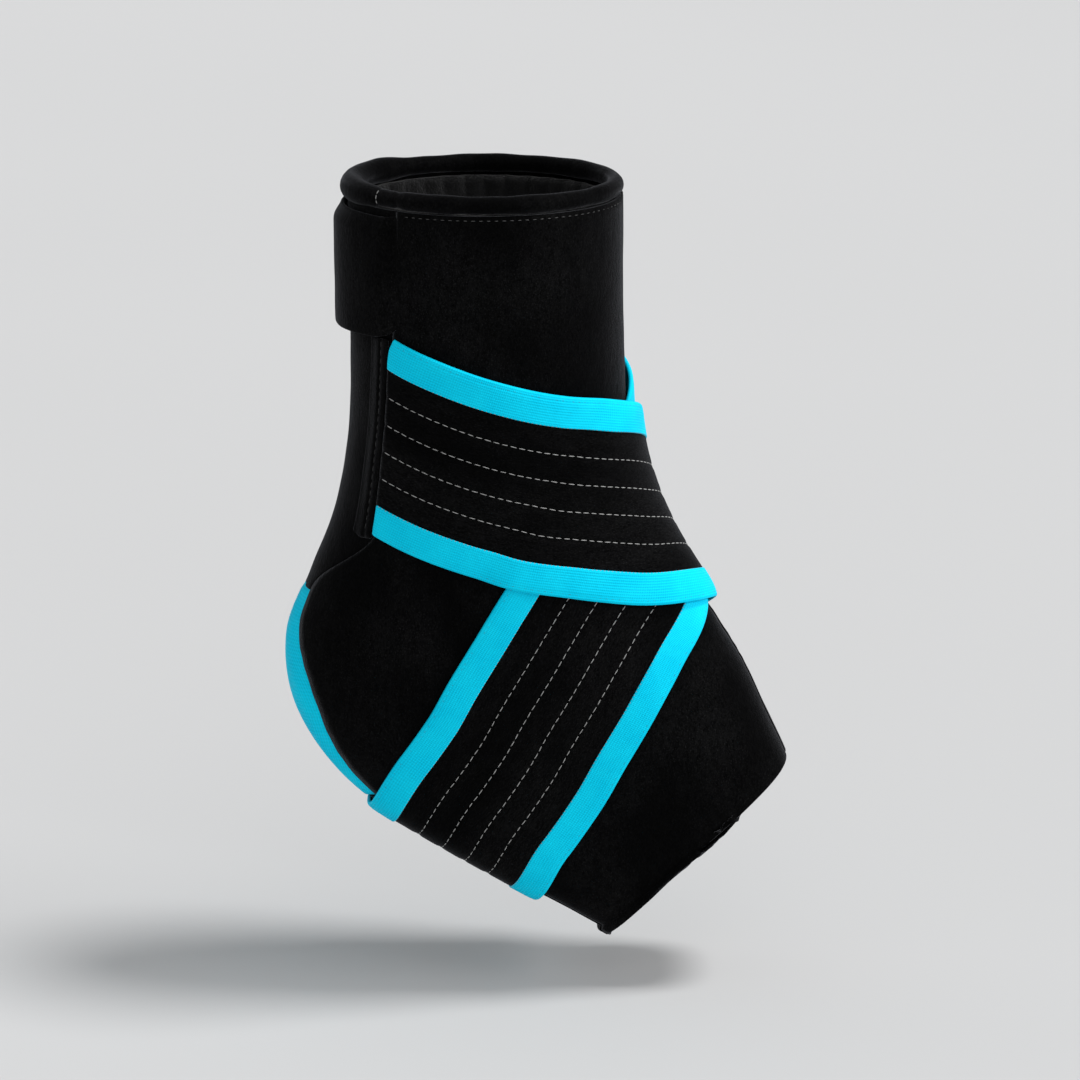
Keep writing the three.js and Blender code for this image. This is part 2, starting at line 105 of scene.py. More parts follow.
# The boot's outline in side view: the back and the front point of each cross section as
# shares of the overall sizes, its taper from calf (0) to toe (1), and how square its
# front half and its half towards the sole are.
STATIONS = (
    ((-0.665, 1.0), (0.455, 1.0), 0, 2, 2),
    ((-0.658, 0.72), (0.46, 0.73), 0, 2, 2),
    ((-0.658, 0.505), (0.465, 0.555), 0.05, 2, 2),
    ((-0.687, 0.35), (0.48, 0.405), 0.12, 2, 2),
    ((-0.755, 0.195), (0.525, 0.265), 0.2, 2, 2),
    ((-0.878, 0.048), (0.597, 0.14), 0.25, 2.05, 2.05),
    ((-1.0, -0.13), (0.694, 0.018), 0.3, 2.1, 2.1),
    ((-0.948, -0.345), (0.79, -0.115), 0.375, 2.25, 2.4),
    ((-0.677, -0.553), (0.867, -0.237), 0.5, 2.45, 3.2),
    ((-0.206, -0.724), (0.931, -0.36), 0.65, 2.7, 4.2),
    ((0.363, -0.983), (0.985, -0.465), 0.97, 3.15, 4.4),
    ((0.395, -1.0), (1.0, -0.496), 1, 3.2, 4.4),
)
TOE_STATION = len(STATIONS) - 1

# Centre lines of the two runs of the strap, as (along, around).
WRAP_PATH = (
    (2.3, 154), (2.82, 121), (3.22, 90), (3.53, 62), (3.8, 37), (4.15, 16), (4.62, -3),
    (5.3, -23), (6.1, -40), (6.82, -57), (7.66, -90), (8.49, -130), (9.05, -160), (9.11, -186),
)
CROSS_PATH = (
    (9.11, 186), (9.06, 161), (8.63, 141), (8.11, 115), (7.57, 85), (6.98, 60), (6.39, 45),
    (5.78, 34), (5.18, 23), (4.4, 8), (3.75, -12), (3.35, -34), (3.1, -58), (2.95, -84),
    (2.9, -112), (2.9, -140),
)
STRAP_END = 0.8657
CROSSING_RUN = (0.33, 0.9)

# Seams and ends, as stations along and angles around.
OUTER_HEM = 134.5
HEM_LEAN = 3.1
INNER_HEM = 225
FLAP_END = 133.3
FLAP_ROOT = 236
FLAP_RANGE = (0.13, 1.2)
SHELL_TOP = 0.085
SHELL_END = 10
TOE_FOLD = 11
ANKLE_SEAM = 5.2
HEEL_BAND_END = 8.17
HEEL_BAND_SPREAD = (5.2, 7)
HEEL_BAND_TAPER = 0.45
SOLE_SPREAD = (8.6, 10)
SOLE_TAPER = 0.72
PLACKET_RANGE = (1.22, 4.2)
GEL_PACKS = {"leg": ((0.7, 4.9), (25, 135)), "ankle": ((5.4, 7.8), (25, 150))}

# Depths of the layers, from the outer face of the shell inwards.
SHELL_WALL = 2 * MM
GEL_TOP = -2.9 * MM
GEL_WALL = 3.2 * MM
LINER_WALL = 2.6 * MM
COLLAR_LINER_TOP = -4.6 * MM
LEG_LINER_TOP = -8.8 * MM
TOE_LINER_TOP = -2.9 * MM
STRAP_LIFT = 0.4 * MM
SOLE_STAND_OFF = 0.3 * MM
HEEL_BAND_WALL = 1.8 * MM

# Unevenness of the padding as (height, grain), the tuck of its seams and how far it
# reaches, the stations between which the side seam is faint, and the turn at the toe.
PADDING = ((0.4 * MM, 38 * MM), (0.12 * MM, 11 * MM))
SEAM_TUCK = 0.35 * MM
SEAM_REACH = 1.2 * MM
FAINT_SEAM = (4.1, 4.5, 5.0, 5.3)
TOE_TURN = 0.6 * MM

# How the padding swells under pressure, and how far from what holds it down.
SWELL_PRESSURE = 4.0
SWELL_FRAMES = 20
SHELL_SWELL = 1.2 * MM
FLAP_SWELL = 0.7 * MM
STRAP_MARGIN = 2 * MM
SEAM_MARGIN = 2 * MM
ANKLE_MARGIN = 16 * MM
FLAP_MARGIN = 4 * MM

# Collar roll and toe hem.
ROLL_PROUD = 0.5 * MM
ROLL_OVER_FLAP = 1.3 * MM
HEM_WIDTH = 3.5 * MM
HEM_INSET = 1.4 * MM
HEM_DEPTHS = (-1.9 * MM, -4.0 * MM)
HEM_ROUNDNESS = 0.55

# Strap: its quilting, and the placket over its start.
QUILT_TUCK = 0.4 * MM
QUILT_REACH = 1.1 * MM
FOLD_STITCH_INSET = 2.1 * MM
PLACKET_WIDTH = 12 * MM
PLACKET_HEIGHT = 2.1 * MM
PLACKET_WALL = 1.2 * MM
PLACKET_SEAM = 4 * MM

# Collar flap: its height at the sunk free end, over the hook pad, further back, and
# under the roll, and its drop to the sewn root.
FLAP_WALL = 1.5 * MM
FLAP_CORNER = 9 * MM
FLAP_END_HEIGHT = -0.4 * MM
FLAP_PAD_HEIGHT = 3.9 * MM
FLAP_BACK_RISE = 2.0 * MM
FLAP_TOP_HEIGHT = 2.7 * MM
FLAP_ROOT_DROP = 2.4 * MM

# Tab at the strap's end, and the hook pads of flap and tab.
TAB_LENGTH = 48 * MM
TAB_WIDTH = 58 * MM
TAB_CORNER = 14 * MM
TAB_WALL = 1.6 * MM
TAB_HEIGHT = 3.9 * MM
TAB_GAP = 0.5 * MM
HOOK_MARGIN = 5 * MM
HOOK_WALL = 1.2 * MM
FLAP_HOOK_LENGTH = 26 * MM
FLAP_HOOK_HEIGHT = 1.6 * MM
TAB_HOOK_LENGTH = 30 * MM
TAB_HOOK_WIDTH = 34 * MM
TAB_HOOK_HEIGHT = 2.0 * MM

# Steps of the calculations: paces of a walk across a strap, the nudge along it that gives
# its heading, and halvings of a search.
WALK_PACES = 8
NUDGE = 0.02
HALVINGS = 24


class WrapSizes(bpy.types.PropertyGroup):
    """Sizes of the wrap."""

    leg_height: FloatProperty(
        name="Leg Height", description="Collar above the ankle centre", default=0.166, unit="LENGTH"
    )
    sole_drop: FloatProperty(
        name="Sole Drop", description="Lowest corner below the ankle centre", default=0.139, unit="LENGTH"
    )
    foot_reach: FloatProperty(
        name="Foot Reach", description="Toe end ahead of the ankle centre", default=0.124, unit="LENGTH"
    )
    heel_reach: FloatProperty(
        name="Heel Reach", description="Heel behind the ankle centre", default=0.0775, unit="LENGTH"
    )
    calf_width: FloatProperty(
        name="Calf Width", description="Width at the collar", default=0.09, unit="LENGTH"
    )
    toe_width: FloatProperty(
        name="Toe Width", description="Width at the toe end", default=0.05, unit="LENGTH"
    )
    strap_width: FloatProperty(
        name="Strap Width", description="Strap with both bindings", default=0.08, unit="LENGTH"
    )
    strap_thickness: FloatProperty(
        name="Strap Thickness", description="Web between the bindings", default=0.0022, unit="LENGTH"
    )
    binding_width: FloatProperty(
        name="Binding Width", description="Folded tape along each edge", default=0.013, unit="LENGTH"
    )
    binding_thickness: FloatProperty(
        name="Binding Thickness", description="Tape folded round the web", default=0.0028, unit="LENGTH"
    )
    heel_band_width: FloatProperty(
        name="Heel Band Width", description="Elastic band down the heel", default=0.046, unit="LENGTH"
    )
    roll_radius: FloatProperty(
        name="Roll Radius", description="Padded roll round the collar", default=0.0034, unit="LENGTH"
    )
    stitch_rows: IntProperty(name="Stitch Rows", description="Rows quilted along the strap", default=4, min=0)
    stitch_length: FloatProperty(
        name="Stitch Length", description="Visible part of a quilting stitch", default=0.0027, unit="LENGTH"
    )
    stitch_gap: FloatProperty(
        name="Stitch Gap", description="Space between two stitches", default=0.0008, unit="LENGTH"
    )
    thread_radius: FloatProperty(
        name="Thread Radius", description="Radius of the sewing thread", default=0.0002, unit="LENGTH"
    )


class WrapColours(bpy.types.PropertyGroup):
    """Colours of the wrap."""

    pile: FloatVectorProperty(
        name="Pile", description="Loop pile of shell and strap", default=(0.0006, 0.0006, 0.00065),
        subtype="COLOR", size=3, min=0, max=1,
    )
    pile_tips: FloatVectorProperty(
        name="Pile Tips", description="Tips of the pile where the nap is raised",
        default=(0.0066, 0.0066, 0.0068), subtype="COLOR", size=3, min=0, max=1,
    )
    binding: FloatVectorProperty(
        name="Binding", description="Binding tape and heel band", default=(0.0, 0.66, 0.95),
        subtype="COLOR", size=3, min=0, max=1,
    )
    thread: FloatVectorProperty(
        name="Thread", description="Quilting thread", default=(0.42, 0.42, 0.41),
        subtype="COLOR", size=3, min=0, max=1,
    )
    lining: FloatVectorProperty(
        name="Lining", description="Plush lining", default=(0.0045, 0.0045, 0.0048),
        subtype="COLOR", size=3, min=0, max=1,
    )
    gel: FloatVectorProperty(
        name="Gel", description="Gel packs", default=(0.12, 0.42, 0.62),
        subtype="COLOR", size=3, min=0, max=1,
    )
    backdrop: FloatVectorProperty(
        name="Backdrop", description="Studio floor", default=(0.58, 0.58, 0.582),
        subtype="COLOR", size=3, min=0, max=1,
    )


# ---------------------------------------------------------------- surface of the boot


def unit(vectors):
    return vectors / np.linalg.norm(vectors, axis=-1, keepdims=True)


def mix(low, high, share):
    return low + (high - low) * share


def ramp(low, high, value):
    """A smooth step from 0 at low to 1 at high."""
    share = np.clip((value - low) / (high - low), 0, 1)
    return share * share * (3 - 2 * share)


def bump(distance, width):
    """A smooth bump of height 1 that fades over a width."""
    return np.exp(-((distance / width) ** 2))


def cloth_noise(points, grain, seed=0.0):
    """Smooth noise from -1 to 1 at points in space, with features of about one grain."""
    offset = Vector((seed, 2.7 * seed, -1.3 * seed))
    return np.array([noise.noise(Vector(point) / grain + offset) for point in points])


def layered_noise(points, layers):
    """The sum of several noises, each with a height and a grain."""
    return sum(height * cloth_noise(points, grain) for height, grain in layers)


def arc_lengths(points):
    """How far along a line each of its points lies."""
    return np.concatenate([[0], np.cumsum(np.linalg.norm(np.diff(points, axis=0), axis=1))])


def distance_to(spots, points):
    """The distance of each point from the nearest of the spots, up to a metre."""
    nearest = np.full(len(points), 1.0)
    for spot in spots:
        nearest = np.minimum(nearest, np.linalg.norm(points - spot, axis=1))
    return nearest


def spline(rows, position):
    """Catmull-Rom interpolation through rows of numbers, straight on past both ends."""
    position = np.asarray(position, float)
    last = len(rows) - 1
    index = np.clip(np.floor(position).astype(int), 0, last - 1)
    t = (position - index)[..., None]
    here = rows[index]
    following = rows[index + 1]
    inside = (index > 0)[..., None]
    before = np.where(inside, rows[np.maximum(index - 1, 0)], 2 * here - following)
    inside = (index + 2 <= last)[..., None]
    after = np.where(inside, rows[np.minimum(index + 2, last)], 2 * following - here)
    slope = (following - before) / 2
    next_slope = (after - here) / 2
    rise = following - here
    return (
        here
        + t * slope
        + t**2 * (3 * rise - 2 * slope - next_slope)
        + t**3 * (slope + next_slope - 2 * rise)
    )


class Boot:
    """The outer face of the shell. Places are arrays of stations and of angles."""

    def __init__(self, sizes):
        self.sizes = sizes
        self.rows = np.array([self.sized(*station) for station in STATIONS])

    def sized(self, back, front, taper, square, sole):
        sizes = self.sizes
        row = []
        for x, z in (back, front):
            row.append(x * (sizes.heel_reach if x < 0 else sizes.foot_reach))
            row.append(z * (sizes.leg_height if z > 0 else sizes.sole_drop))
        return row + [mix(sizes.calf_width, sizes.toe_width, taper) / 2, square, sole]

    def section(self, along):
        """Centre, axis from back to front, half sizes and squareness of cross sections,
        in front and towards the sole."""
        row = spline(self.rows, along)
        back, front = row[..., 0:2], row[..., 2:4]
        axis = front - back
        half_depth = np.linalg.norm(axis, axis=-1) / 2
        return (front + back) / 2, unit(axis), half_depth, row[..., 4], row[..., 5], row[..., 6]

    def skin(self, along, around):
        centre, axis, half_depth, half_width, square, sole = self.section(along)
        angle = np.radians(around)
        forward, outward = np.cos(angle), np.sin(angle)
        power = np.where(forward < 0, sole, square)
        radius = (
            np.abs(forward / half_depth) ** power + np.abs(outward / half_width) ** power
        ) ** (-1 / power)
        reach = (radius * forward)[..., None]
        flat = centre + axis * reach
        return np.stack([flat[..., 0], -radius * outward, flat[..., 1]], axis=-1)

    def normal(self, along, around):
        step = 0.01
        down = self.skin(along + step, around) - self.skin(along - step, around)
        turn = self.skin(along, around + step) - self.skin(along, around - step)
        return unit(np.cross(turn, down))

    def surface(self, along, around, depth):
        """Points at a depth, measured outwards from the shell's outer face."""
        along, around, depth = np.broadcast_arrays(*(np.asarray(x, float) for x in (along, around, depth)))
        return self.skin(along, around) + self.normal(along, around) * depth[..., None]

    def locate(self, points):
        """The place on the boot of each point, found in the section that it lies in."""
        low = np.full(points.shape[:-1], -1.0)
        high = np.full(points.shape[:-1], TOE_STATION + 1.0)
        for _ in range(HALVINGS):
            middle = (low + high) / 2
            centre, axis = self.section(middle)[:2]
            x, z = points[..., 0] - centre[..., 0], points[..., 2] - centre[..., 1]
            ahead = x * axis[..., 1] - z * axis[..., 0] > 0
            low = np.where(ahead, middle, low)
            high = np.where(ahead, high, middle)
        along = (low + high) / 2
        centre, axis = self.section(along)[:2]
        x, z = points[..., 0] - centre[..., 0], points[..., 2] - centre[..., 1]
        forward = x * axis[..., 0] + z * axis[..., 1]
        return along, np.degrees(np.arctan2(-points[..., 1], forward))

    def degrees_for(self, length, along):
        """The degrees that a length across the back of the boot takes up."""
        return np.degrees(length / self.section(along)[2])

    def heel_edge(self, along):
        """The edge of the heel band, and of the sole in line with it. It comes in to a narrow
        end at the ankle seam, and a little at the toe."""
        spread = mix(HEEL_BAND_TAPER, 1, ramp(*HEEL_BAND_SPREAD, along))
        spread = spread * mix(1, SOLE_TAPER, ramp(*SOLE_SPREAD, along))
        return 180 - self.degrees_for(spread * self.sizes.heel_band_width / 2, along)

    def side_seam(self, along):
        """The outer edge of the back panel, which runs down into the heel band's edge."""
        share = ramp(4.1, ANKLE_SEAM, along)
        return mix(OUTER_HEM + HEM_LEAN * along, self.heel_edge(along), share)

    def inner_seam(self, along):
        share = ramp(4.1, ANKLE_SEAM, along)
        return mix(INNER_HEM, 360 - self.heel_edge(along), share)


class Strip:
    """A strap's centre line laid over the boot. A place is a share of its length and a
    distance across it, walked over the skin square to the centre line."""

    def __init__(self, boot, path):
        self.boot = boot
        along, around = np.array(path, float).T
        self.knots = boot.skin(along, around)
        self.length = arc_lengths(self.line(np.linspace(0, 1, 200)))[-1]

    def spot(self, share):
        return self.boot.locate(spline(self.knots, share * (len(self.knots) - 1)))

    def line(self, share):
        return self.boot.skin(*self.spot(share))

    def place(self, share, across):
        share, across = np.broadcast_arrays(np.asarray(share, float), np.asarray(across, float))
        boot = self.boot
        here = self.spot(share)
        forward = self.line(share + NUDGE) - self.line(share - NUDGE)
        heading = np.cross(boot.normal(*here), forward)
        for _ in range(WALK_PACES):
            normal = boot.normal(*here)
            heading = unit(heading - normal * (heading * normal).sum(-1, keepdims=True))
            here = boot.locate(boot.skin(*here) + heading * (across / WALK_PACES)[..., None])
        return here

    def cut(self, across, kept, lost, test):
        """For each distance across, the share at which a test of the place stops holding."""
        inside = np.full(len(across), float(kept))
        outside = np.full(len(across), float(lost))
        for _ in range(HALVINGS):
            middle = (inside + outside) / 2
            along, around = self.place(middle, across)
            holds = test(along, around, self.boot.skin(along, around))
            inside = np.where(holds, middle, inside)
            outside = np.where(holds, outside, middle)
        return inside


# ---------------------------------------------------------------- making pieces


def warped_grid(cells, place, closed=False):
    """A grid whose vertices go to place(u, v), which returns points, UVs and outward normals."""
    bm = bmesh.new()
    bmesh.ops.create_grid(bm, x_segments=cells[0], y_segments=cells[1], size=0.5, calc_uvs=True)
    bm.verts.index_update()
    flat = np.array([vertex.co[:2] for vertex in bm.verts]) + 0.5
    points, flat_uv, outward = place(flat[:, 0], flat[:, 1])
    for vertex, point in zip(bm.verts, points):
        vertex.co = point
    layer = bm.loops.layers.uv.verify()
    for face in bm.faces:
        for loop in face.loops:
            loop[layer].uv = flat_uv[loop.vert.index]
    bm.normal_update()
    facing = sum(face.normal.dot(Vector(outward[face.verts[0].index])) for face in bm.faces)
    if facing < 0:
        bmesh.ops.reverse_faces(bm, faces=bm.faces)
    if closed:
        bmesh.ops.remove_doubles(bm, verts=bm.verts, dist=0.01 * MM)
        bmesh.ops.recalc_face_normals(bm, faces=bm.faces)
    return bm


def add_piece(name, bm, finish, body, slot, replaces=()):
    """Makes a piece from a bmesh and ties it to the frame."""
    mesh = bpy.data.meshes.new(name)
    bm.to_mesh(mesh)
    bm.free()
    mesh.shade_smooth()
    piece = bpy.data.objects.new(name, mesh)
    bpy.context.scene.collection.objects.link(piece)
    mesh.materials.append(bpy.data.materials[finish])
    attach(piece, body)
    if replaces:
        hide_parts(*replaces)
    return piece


def thicken(piece, wall, rounded=0):
    """Gives a sheet its wall, inwards from its outer face, and rounds its edges."""
    solidify = piece.modifiers.new("wall", "SOLIDIFY")
    solidify.thickness = wall
    solidify.offset = -1
    if rounded:
        subdivision = piece.modifiers.new("rounding", "SUBSURF")
        subdivision.levels = rounded
        subdivision.render_levels = rounded
    return piece


def mesh_points(mesh):
    points = np.empty(len(mesh.vertices) * 3, np.float32)
    mesh.vertices.foreach_get("co", points)
    return points.reshape(-1, 3).astype(float)


def swell(piece, held, limit):
    """Lets a sheet of cloth swell under pressure, up to a limit, where it isn't held down."""
    group = piece.vertex_groups.new(name="held")
    group.add([int(index) for index in np.flatnonzero(held)], 1.0, "REPLACE")
    cloth = piece.modifiers.new("swelling", "CLOTH")
    cloth.settings.vertex_group_mass = group.name
    cloth.settings.use_pressure = True
    cloth.settings.uniform_pressure_force = SWELL_PRESSURE
    cloth.settings.effector_weights.gravity = 0
    for frame in range(1, SWELL_FRAMES + 1):
        bpy.context.scene.frame_set(frame)
    swollen = piece.evaluated_get(bpy.context.evaluated_depsgraph_get())
    rest = mesh_points(piece.data)
    moved = mesh_points(swollen.data) - rest
    reach = np.linalg.norm(moved, axis=1, keepdims=True) + 1e-9
    rest += moved / reach * limit * np.tanh(reach / limit)
    piece.modifiers.remove(cloth)
    piece.vertex_groups.remove(group)
    piece.data.vertices.foreach_set("co", rest.astype(np.float32).ravel())
    piece.data.update()
    bpy.context.scene.frame_set(1)


def add_panel(
    name, boot, along, around, depth, cells, wall, finish, slot, body="boot", replaces=(), rounded=0,
    held=None, limit=0,
):
    """A sewn panel between two stations and two angles. The angles are numbers or functions
    of the station, and depth is a function of station, angle and distance from the edge.
    The cloth swells by up to a limit, except where the function held says so."""
    pinned = []

    def place(u, v):
        station = mix(along[0], along[1], u)
        start, end = (edge(station) if callable(edge) else edge for edge in around)
        angle = mix(start, end, v)
        half_depth = boot.section(station)[2]
        width = np.radians(end - start) * half_depth
        from_edge = np.minimum(v, 1 - v) * width
        points = boot.surface(station, angle, depth(station, angle, from_edge))
        if held:
            pinned.append(held(station, angle, from_edge, points))
        flat = np.stack([station * 20 * MM, np.radians(angle) * half_depth], axis=-1)
        return points, flat, boot.normal(station, angle)

    piece = add_piece(name, warped_grid(cells, place), finish, body, slot, replaces)
    if held:
        swell(piece, pinned[0], limit)
    return thicken(piece, wall, rounded)


def stitch_run(points, normals, length, gap, radius):
    """A row of stitches along a line, each a short thread that lies on the cloth."""
    row = bmesh.new()
    arc = arc_lengths(points)
    count = int((arc[-1] + gap) / (length + gap))
    for index in range(count):
        start = index * (length + gap)
        at = [np.array([np.interp(start + s, arc, column) for column in points.T]) for s in (0, length)]
        middle = (at[0] + at[1]) / 2
        normal = Vector([np.interp(start + length / 2, arc, column) for column in normals.T]).normalized()
        ahead = Vector(at[1] - at[0]).normalized()
        side = normal.cross(ahead).normalized()
        slant = 0.05 * math.sin(index * 2.4)
        ahead = (ahead + side * slant).normalized()
        side = normal.cross(ahead).normalized()
        turn = Matrix((side, normal, ahead)).transposed().to_4x4()
        reach = length / 2 * (1 + 0.08 * math.sin(index * 1.7))
        scale = Matrix.Diagonal((radius, radius, reach, 1))
        seat = Matrix.Translation(Vector(middle) + normal * radius / 4)
        bmesh.ops.create_uvsphere(row, u_segments=6, v_segments=4, radius=1, matrix=seat @ turn @ scale)
    return row


def add_stitching(name, runs, length, gap, radius, finish, body="boot", slot="loop_pile"):
    """One piece of stitching, made of several runs of (points, normals)."""
    bm = bmesh.new()
    for points, normals in runs:
        row = stitch_run(points, normals, length, gap, radius)
        part = bpy.data.meshes.new("stitch_row")
        row.to_mesh(part)
        row.free()
        bm.from_mesh(part)
        bpy.data.meshes.remove(part)
    return add_piece(name, bm, finish, body, slot)


# ---------------------------------------------------------------- finishes


class Finish:
    """A node material around one Principled shader."""

    def __init__(self, name, **values):
        self.material = bpy.data.materials.new(name)
        self.material.use_nodes = True
        self.tree = self.material.node_tree
        self.tree.nodes.clear()
        output = self.tree.nodes.new("ShaderNodeOutputMaterial")
        self.shader = self.tree.nodes.new("ShaderNodeBsdfPrincipled")
        self.link(self.shader.outputs["BSDF"], output.inputs["Surface"])
        for socket, value in values.items():
            self.shader.inputs[socket.replace("_", " ").title().replace("Ior", "IOR")].default_value = value

    def link(self, source, target):
        self.tree.links.new(source, target)

    def node(self, kind, inputs=(), **settings):
        """A node with some inputs set, to a value or to another node's output."""
        node = self.tree.nodes.new("ShaderNode" + kind)
        for setting, value in settings.items():
            setattr(node, setting, value)
        for socket, value in dict(inputs).items():
            if isinstance(value, bpy.types.NodeSocket):
                self.link(value, node.inputs[socket])
            else:
                node.inputs[socket].default_value = value
        return node

    def math(self, operation, *values):
        return self.node("Math", enumerate(values), operation=operation).outputs[0]

    def place(self, coordinate="Object", scale=(1, 1, 1)):
        """Where a texture is read: Object or UV coordinates in metres, stretched by a scale."""
        source = self.node("TexCoord").outputs[coordinate]
        return self.node("Mapping", {"Vector": source, "Scale": scale}).outputs[0]

    def noise(self, vector, scale, detail=3.0, roughness=0.5):
        inputs = {"Vector": vector, "Scale": scale, "Detail": detail, "Roughness": roughness}
        return self.node("TexNoise", inputs).outputs["Fac"]

    def levels(self, value, low, high, to_low=0.0, to_high=1.0):
        inputs = {"Value": value, "From Min": low, "From Max": high, "To Min": to_low, "To Max": to_high}
        return self.node("MapRange", inputs).outputs[0]

    def blend(self, share, first, second):
        node = self.node("Mix", data_type="RGBA")
        for socket, value in ((0, share), (6, first), (7, second)):
            if isinstance(value, bpy.types.NodeSocket):
                self.link(value, node.inputs[socket])
            else:
                node.inputs[socket].default_value = value if socket == 0 else (*value, 1)
        return node.outputs[2]

    def colour(self, source):
        self.link(source, self.shader.inputs["Base Color"])

    def roughness(self, source):
        self.link(source, self.shader.inputs["Roughness"])

    def relief(self, *layers):
        """Bump from several (height, distance) layers, the finest last."""
        normal = None
        for height, distance in layers:
            inputs = {"Height": height, "Distance": distance, "Strength": 1.0}
            if normal is not None:
                inputs["Normal"] = normal
            normal = self.node("Bump", inputs).outputs["Normal"]
        self.link(normal, self.shader.inputs["Normal"])


def shaded(colour, factor):
    """A colour made darker or brighter by a factor."""
    return tuple(min(1.0, channel * factor) for channel in colour)


def make_pile(colours, name, coordinate, scale):
    """Brushed loop pile: short fibres, a nap that lies in drifts, and a few bright tips."""
    finish = Finish(name, sheen_weight=0.14, sheen_roughness=0.32, specular_ior_level=0.02)
    finish.shader.inputs["Sheen Tint"].default_value = (0.9, 0.92, 1.0, 1)
    place = finish.place(coordinate, scale)
    fibres = finish.noise(place, 1150, 4, 0.7)
    drifts = finish.noise(place, 70, 3, 0.6)
    clumps = finish.noise(place, 330, 3, 0.6)
    glints = finish.levels(finish.noise(place, 2400, 2, 0.6), 0.56, 0.76)
    nap = finish.levels(finish.noise(place, 26, 3, 0.55), 0.38, 0.62, 0.25, 1.0)
    lying = finish.levels(drifts, 0.3, 0.7, 0.45, 1.0)
    raised = finish.math("MULTIPLY", finish.levels(fibres, 0.35, 0.72), lying)
    shade = finish.blend(raised, colours.pile, colours.pile_tips)
    clumped = finish.levels(clumps, 0.45, 0.75, 0.0, 0.35)
    shade = finish.blend(clumped, shade, shaded(colours.pile_tips, 1.3))
    shade = finish.blend(finish.math("MULTIPLY", glints, 0.5), shade, shaded(colours.pile_tips, 4))
    finish.colour(finish.blend(nap, colours.pile, shade))
    finish.roughness(finish.levels(fibres, 0.3, 0.7, 0.98, 0.8))
    finish.relief((drifts, 0.35 * MM), (clumps, 0.16 * MM), (fibres, 0.24 * MM))


def make_binding(colours, name, rib, bead):
    """Folded elastic tape: fine ribs along its length, beaded by the weft."""
    finish = Finish(name, roughness=0.62, sheen_roughness=0.4, specular_ior_level=0.05)
    place = finish.place("UV")
    across = finish.node("SeparateXYZ", {"Vector": place})
    ribs = finish.math("SINE", finish.math("MULTIPLY", across.outputs["Y"], 2 * math.pi / rib))
    beads = finish.math("SINE", finish.math("MULTIPLY", across.outputs["X"], 2 * math.pi / bead))
    weave = finish.math("ADD", finish.math("MULTIPLY", ribs, 0.6), finish.math("MULTIPLY", beads, 0.4))
    weave = finish.levels(weave, -1, 1)
    fuzz = finish.noise(place, 1600, 4, 0.7)
    wear = finish.noise(place, 60, 3, 0.55)
    deep = shaded(colours.binding, 0.72)
    pale = tuple(min(1.0, channel * 1.16 + 0.004) for channel in colours.binding)
    shade = finish.blend(finish.levels(weave, 0.1, 0.8, 0.25, 1.0), deep, colours.binding)
    shade = finish.blend(finish.levels(wear, 0.35, 0.75, 0.0, 0.55), shade, pale)
    shade = finish.blend(finish.levels(fuzz, 0.55, 0.85, 0.0, 0.4), shade, deep)
    finish.colour(shade)
    finish.roughness(finish.levels(weave, 0, 1, 0.72, 0.52))
    finish.relief((weave, 0.16 * MM), (fuzz, 0.12 * MM))


def make_thread(name, colour):
    """Twisted sewing thread."""
    finish = Finish(name, roughness=0.6, sheen_weight=0.1)
    place = finish.place()
    twist = finish.noise(place, 3000, 2, 0.5)
    finish.colour(finish.blend(finish.levels(twist, 0.35, 0.7), shaded(colour, 0.6), colour))
    finish.relief((twist, 0.05 * MM))


def make_lining(colours):
    """Deep plush: soft tufts, with painted light on their tips and painted shade in the hollows between them.
    """
    finish = Finish(
        "plush_lining", sheen_weight=0.1, sheen_roughness=0.5, specular_ior_level=0.1, roughness=0.95
    )
    place = finish.place()
    tufts = finish.noise(place, 260, 4, 0.65)
    fluff = finish.noise(place, 1300, 4, 0.75)
    drifts = finish.noise(place, 60, 2, 0.5)
    # Painted shade: the plush is darkened to a third where its tufts sink, in the hollows between them.
    hollow_shade = shaded(colours.lining, 0.3)
    shade = finish.blend(finish.levels(tufts, 0.35, 0.7), hollow_shade, colours.lining)
    shade = finish.blend(finish.levels(fluff, 0.5, 0.8, 0, 0.8), shade, shaded(colours.lining, 2.4))
    shade = finish.blend(finish.levels(drifts, 0.4, 0.7, 0, 0.3), shade, shaded(colours.lining, 1.8))
    finish.colour(shade)
    finish.relief((tufts, 1.4 * MM), (fluff, 0.5 * MM))


def make_gel(colours):
    """Clear blue gel behind a matt film."""
    finish = Finish("gel_film", roughness=0.3, transmission_weight=0.35, ior=1.4, coat_weight=0.3)
    place = finish.place()
    cloud = finish.noise(place, 90, 4, 0.6)
    thick = shaded(colours.gel, 0.7)
    finish.colour(finish.blend(finish.levels(cloud, 0.3, 0.7), thick, colours.gel))
    finish.roughness(finish.levels(cloud, 0.3, 0.7, 0.22, 0.42))
    finish.relief((cloud, 0.4 * MM))


def make_hook_field(colours):
    """Moulded hook tape: rows of small stems on a backing."""
    finish = Finish("hook_field", roughness=0.5, specular_ior_level=0.4)
    place = finish.place("UV")
    stems = finish.node("TexVoronoi", {"Vector": place, "Scale": 900.0, "Randomness": 0.15})
    rows = finish.levels(stems.outputs["Distance"], 0.1, 0.45, 1.0, 0.0)
    base = shaded(colours.pile, 1.5)
    finish.colour(finish.blend(rows, base, shaded(colours.pile_tips, 2.2)))
    finish.roughness(finish.levels(rows, 0, 1, 0.7, 0.35))
    finish.relief((rows, 0.5 * MM))


def make_backdrop(colours):
    """Matt studio paper."""
    finish = Finish("studio_paper", roughness=0.9, specular_ior_level=0.1)
    place = finish.place()
    clouds = finish.noise(place, 0.8, 2, 0.5)
    dimmer = shaded(colours.backdrop, 0.97)
    finish.colour(finish.blend(finish.levels(clouds, 0.3, 0.7), dimmer, colours.backdrop))


